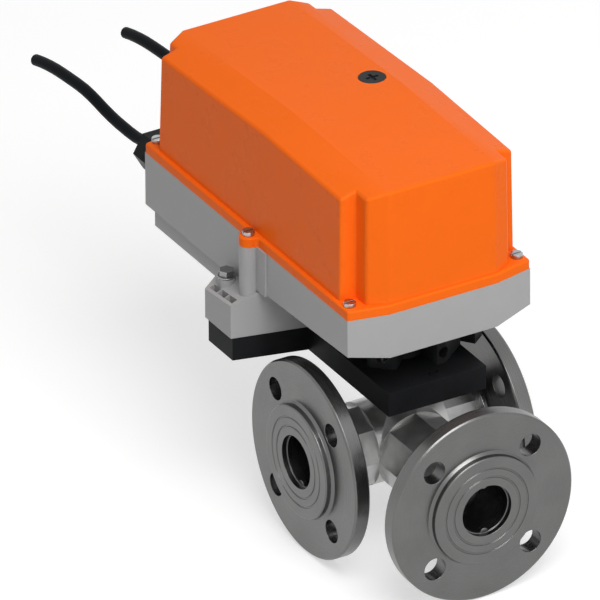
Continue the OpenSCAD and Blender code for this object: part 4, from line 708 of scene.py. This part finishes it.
neck_x = RIM_X + NECK_R
neck_y = math.sqrt((LOBE_R + NECK_R) ** 2 - (neck_x - LOBE_X) ** 2)
meet = math.degrees(math.atan2(neck_y, neck_x - LOBE_X))
lobe = arc(neck_x, LOBE_Y - neck_y, NECK_R, 180, 180 - meet, 4)
lobe += arc(LOBE_X, LOBE_Y, LOBE_R, -meet, meet, 20)[1:-1]
lobe += arc(neck_x, LOBE_Y + neck_y, NECK_R, 180 + meet, 180, 4)
RIM_PLAN = mirrored(
    [(STRIP_X, RIM_FRONT), (RIM_X, RIM_FRONT_CORNER)] + lobe + [(RIM_X, RIM_BACK_CORNER), (STRIP_X, RIM_BACK)])
print("points of the rim", len(RIM_PLAN))

# %% [markdown]
# The rim's corners are rounded first and its top edge after that, so that the small rounding runs on round each
# corner. Its bottom edge stays sharp, because it sits on the gasket.

# %% Rim
CORNER_FOLD, TOP_FOLD = 50.0, 60.0
RIM_CORNER_ROUND, RIM_TOP_ROUND = 1.5, 1.3
rim_top_edges = (RIM_TOP - 0.1) * MM

rim = prism("rim", RIM_PLAN, RIM_BOTTOM, RIM_TOP)
choose(rim, "edges", lambda e: upright_edge(e) and fold(e) > CORNER_FOLD)
bpy.ops.mesh.bevel(offset=RIM_CORNER_ROUND * MM, segments=3, affect="EDGES")
leave()
choose(rim, "edges", lambda e: fold(e) > TOP_FOLD and min(v.co.z for v in e.verts) > rim_top_edges)
bpy.ops.mesh.bevel(offset=RIM_TOP_ROUND * MM, segments=3, affect="EDGES")
leave()
print("rim faces", len(rim.data.polygons))

# %% [markdown]
# Rim and cover become one moulding, and then its inside comes out. Under the plug a boss is left standing from
# the roof, with a flat recess for the plug's cap and a hole for its spigot. Six holes take the cover screws.
# Booleans with the exact solver do this, one after the other. The fast solver is quicker but less exact.

# %% Hollow, boss and holes
HAND_X, HAND_Y = 25.0, 66.541
BOSS_R, BOSS_LOW, BOSS_HIGH = 9.5, 8.6, 1.6
RECESS_R, RECESS_DEPTH = 8.3, 2.6
PLUG_HOLE_R, PLUG_HOLE_DEPTH = 5.86, 12
SCREW_HOLE_R = 2.25
SCREWS = [(side * x, y) for x, y in ((55.5, -45), (53.5, 178.4), (LOBE_X, LOBE_Y)) for side in (-1, 1)]
PAST = 1
roof = RIM_TOP + RIDGE_H + BACK_SLOPE * (HAND_Y - RIDGE_Y)

hollow = cover("hollow", inset(HOOD_PLAN, HOOD_WALL), RIM_BOTTOM - PAST, HOOD_WALL)
combine(hood, [rim], "UNION")
combine(hood, [hollow], "DIFFERENCE")
combine(hood, [rod("boss", HAND_X, HAND_Y, roof - BOSS_LOW, roof - BOSS_HIGH, BOSS_R)], "UNION")
holes = [rod("screw_hole", x, y, RIM_BOTTOM - PAST, RIM_TOP + PAST, SCREW_HOLE_R, 32) for x, y in SCREWS]
combine(hood, holes, "DIFFERENCE")
combine(hood, [
    rod("recess", HAND_X, HAND_Y, roof - RECESS_DEPTH, roof + 3 * PAST, RECESS_R),
    rod("plug_hole", HAND_X, HAND_Y, roof - PLUG_HOLE_DEPTH, roof, PLUG_HOLE_R),
], "DIFFERENCE")
print("hood faces", len(hood.data.polygons))

# %% [markdown]
# Booleans leave points that lie almost on each other and faces that are cut for no reason. Both are cleaned
# before shading, because they can show as specks. Then the hood takes its colour and its CAD node's place.

# %% Hood's shading and finish
SAME_CORNER = 0.002 * MM
CUT_FOLD = math.radians(0.3)

pick(hood)
bpy.ops.object.mode_set(mode="EDIT")
bpy.ops.mesh.select_all(action="SELECT")
bpy.ops.mesh.remove_doubles(threshold=SAME_CORNER)
bpy.ops.mesh.dissolve_limited(angle_limit=CUT_FOLD)
bpy.ops.mesh.normals_make_consistent(inside=False)
leave()
finish_shading(hood, crease=5.0)
dress(hood, hood_orange)
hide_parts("hood")
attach(hood, "valve_and_actuator")
print("hood faces", len(hood.data.polygons))

# %% [markdown]
# The floor lies just under the flanges. The photograph's ground is white, so the floor adds a little light of
# its own where the camera or a glossy face sees it. A white floor would do that too, but it would also throw more
# light on the undersides. The floor's back is clear, for views from below.

# %% Floor
FLOOR_SIZE, FLOOR_GAP = 120, 0.5 * MM
FLOOR_GREY, FLOOR_LIFT = 0.6, 0.54


def seen_ray(tree):
    """1 for what the camera or a glossy face sees, and 0 for light that falls on a surface."""
    rays = tree.nodes.new("ShaderNodeLightPath")
    either = tree.nodes.new("ShaderNodeMath")
    either.operation = "MAXIMUM"
    tree.links.new(rays.outputs["Is Camera Ray"], either.inputs[0])
    tree.links.new(rays.outputs["Is Glossy Ray"], either.inputs[1])
    return either.outputs["Value"]


floor_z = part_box("flange_ab")[0].z - FLOOR_GAP
bpy.ops.mesh.primitive_plane_add(size=FLOOR_SIZE, location=(0, 0, floor_z))
floor = bpy.context.object
floor.name = "floor"
floor_paint, floor_tree, floor_shader, _ = new_finish("floor_paint")
floor_shader.inputs["Base Color"].default_value = (FLOOR_GREY, FLOOR_GREY, FLOOR_GREY, 1)
floor_shader.inputs["Roughness"].default_value = 0.9
floor_shader.inputs["Specular IOR Level"].default_value = 0.0
floor_shader.inputs["Emission Color"].default_value = (1, 1, 1, 1)
lift = spread(floor_tree, seen_ray(floor_tree), 0.0, FLOOR_LIFT, 0.0, 1.0)
floor_tree.links.new(lift, floor_shader.inputs["Emission Strength"])
facing = floor_tree.nodes.new("ShaderNodeNewGeometry")
clear = floor_tree.nodes.new("ShaderNodeBsdfTransparent")
blend = floor_tree.nodes.new("ShaderNodeMixShader")
floor_tree.links.new(facing.outputs["Backfacing"], blend.inputs["Fac"])
floor_tree.links.new(floor_shader.outputs["BSDF"], blend.inputs[1])
floor_tree.links.new(clear.outputs["BSDF"], blend.inputs[2])
floor_tree.links.new(blend.outputs["Shader"], floor_tree.nodes["Material Output"].inputs["Surface"])
floor.data.materials.append(floor_paint)
print("floor at", round(floor_z, 4))

# %% [markdown]
# The world is an even white room. What the camera and the glossy faces see of it is white, and what falls on the
# pieces is much dimmer, so that the lamps model the shapes and the blacks stay black.

# %% World
SKY_LIGHT, SKY_SEEN = 0.34, 1.0

world = bpy.data.worlds.new("studio")
bpy.context.scene.world = world
world.use_nodes = True
sky = world.node_tree.nodes["Background"]
sky.inputs["Color"].default_value = (1, 1, 1, 1)
sky_level = spread(world.node_tree, seen_ray(world.node_tree), SKY_LIGHT, SKY_SEEN, 0.0, 1.0)
world.node_tree.links.new(sky_level, sky.inputs["Strength"])
print("sky", SKY_LIGHT, "seen as", SKY_SEEN)

# %% [markdown]
# Three soft lamps. The key lamp hangs high in front and a little to the left, so the roof and the front are
# bright and the left side is darker, as in the photograph. The front lamp is weak and low, and lights the ear
# that the housing shades. The right lamp is weak too, and lights the right side from behind. Each lamp's power
# is worked out from the level that it gives at CENTRE, the middle of the whole valve.

# %% Lamps
CENTRE = Vector((0, 0.17, 0.07))


def softbox(name, direction, distance, size, level_at_centre):
    """A square lamp that gives a surface facing it the stated level, where 1 renders a colour as written."""
    aim = Vector(direction).normalized()
    data = bpy.data.lights.new(name, "AREA")
    data.shape = "SQUARE"
    data.size = size
    data.energy = level_at_centre * math.pi ** 2 * distance ** 2
    lamp = bpy.data.objects.new(name, data)
    lamp.location = CENTRE + aim * distance
    lamp.rotation_euler = aim.to_track_quat("Z", "Y").to_euler()
    bpy.context.scene.collection.objects.link(lamp)
    print(name, "watts", round(data.energy, 1))


softbox("key_lamp", (-0.13, -0.57, 0.81), 2.2, 1.3, 0.72)
softbox("right_lamp", (0.9, 0.35, 0.45), 2.4, 1.0, 0.1)
softbox("front_lamp", (0.12, -0.98, 0.16), 2.4, 1.0, 0.12)
bpy.context.scene.view_settings.view_transform = "Standard"
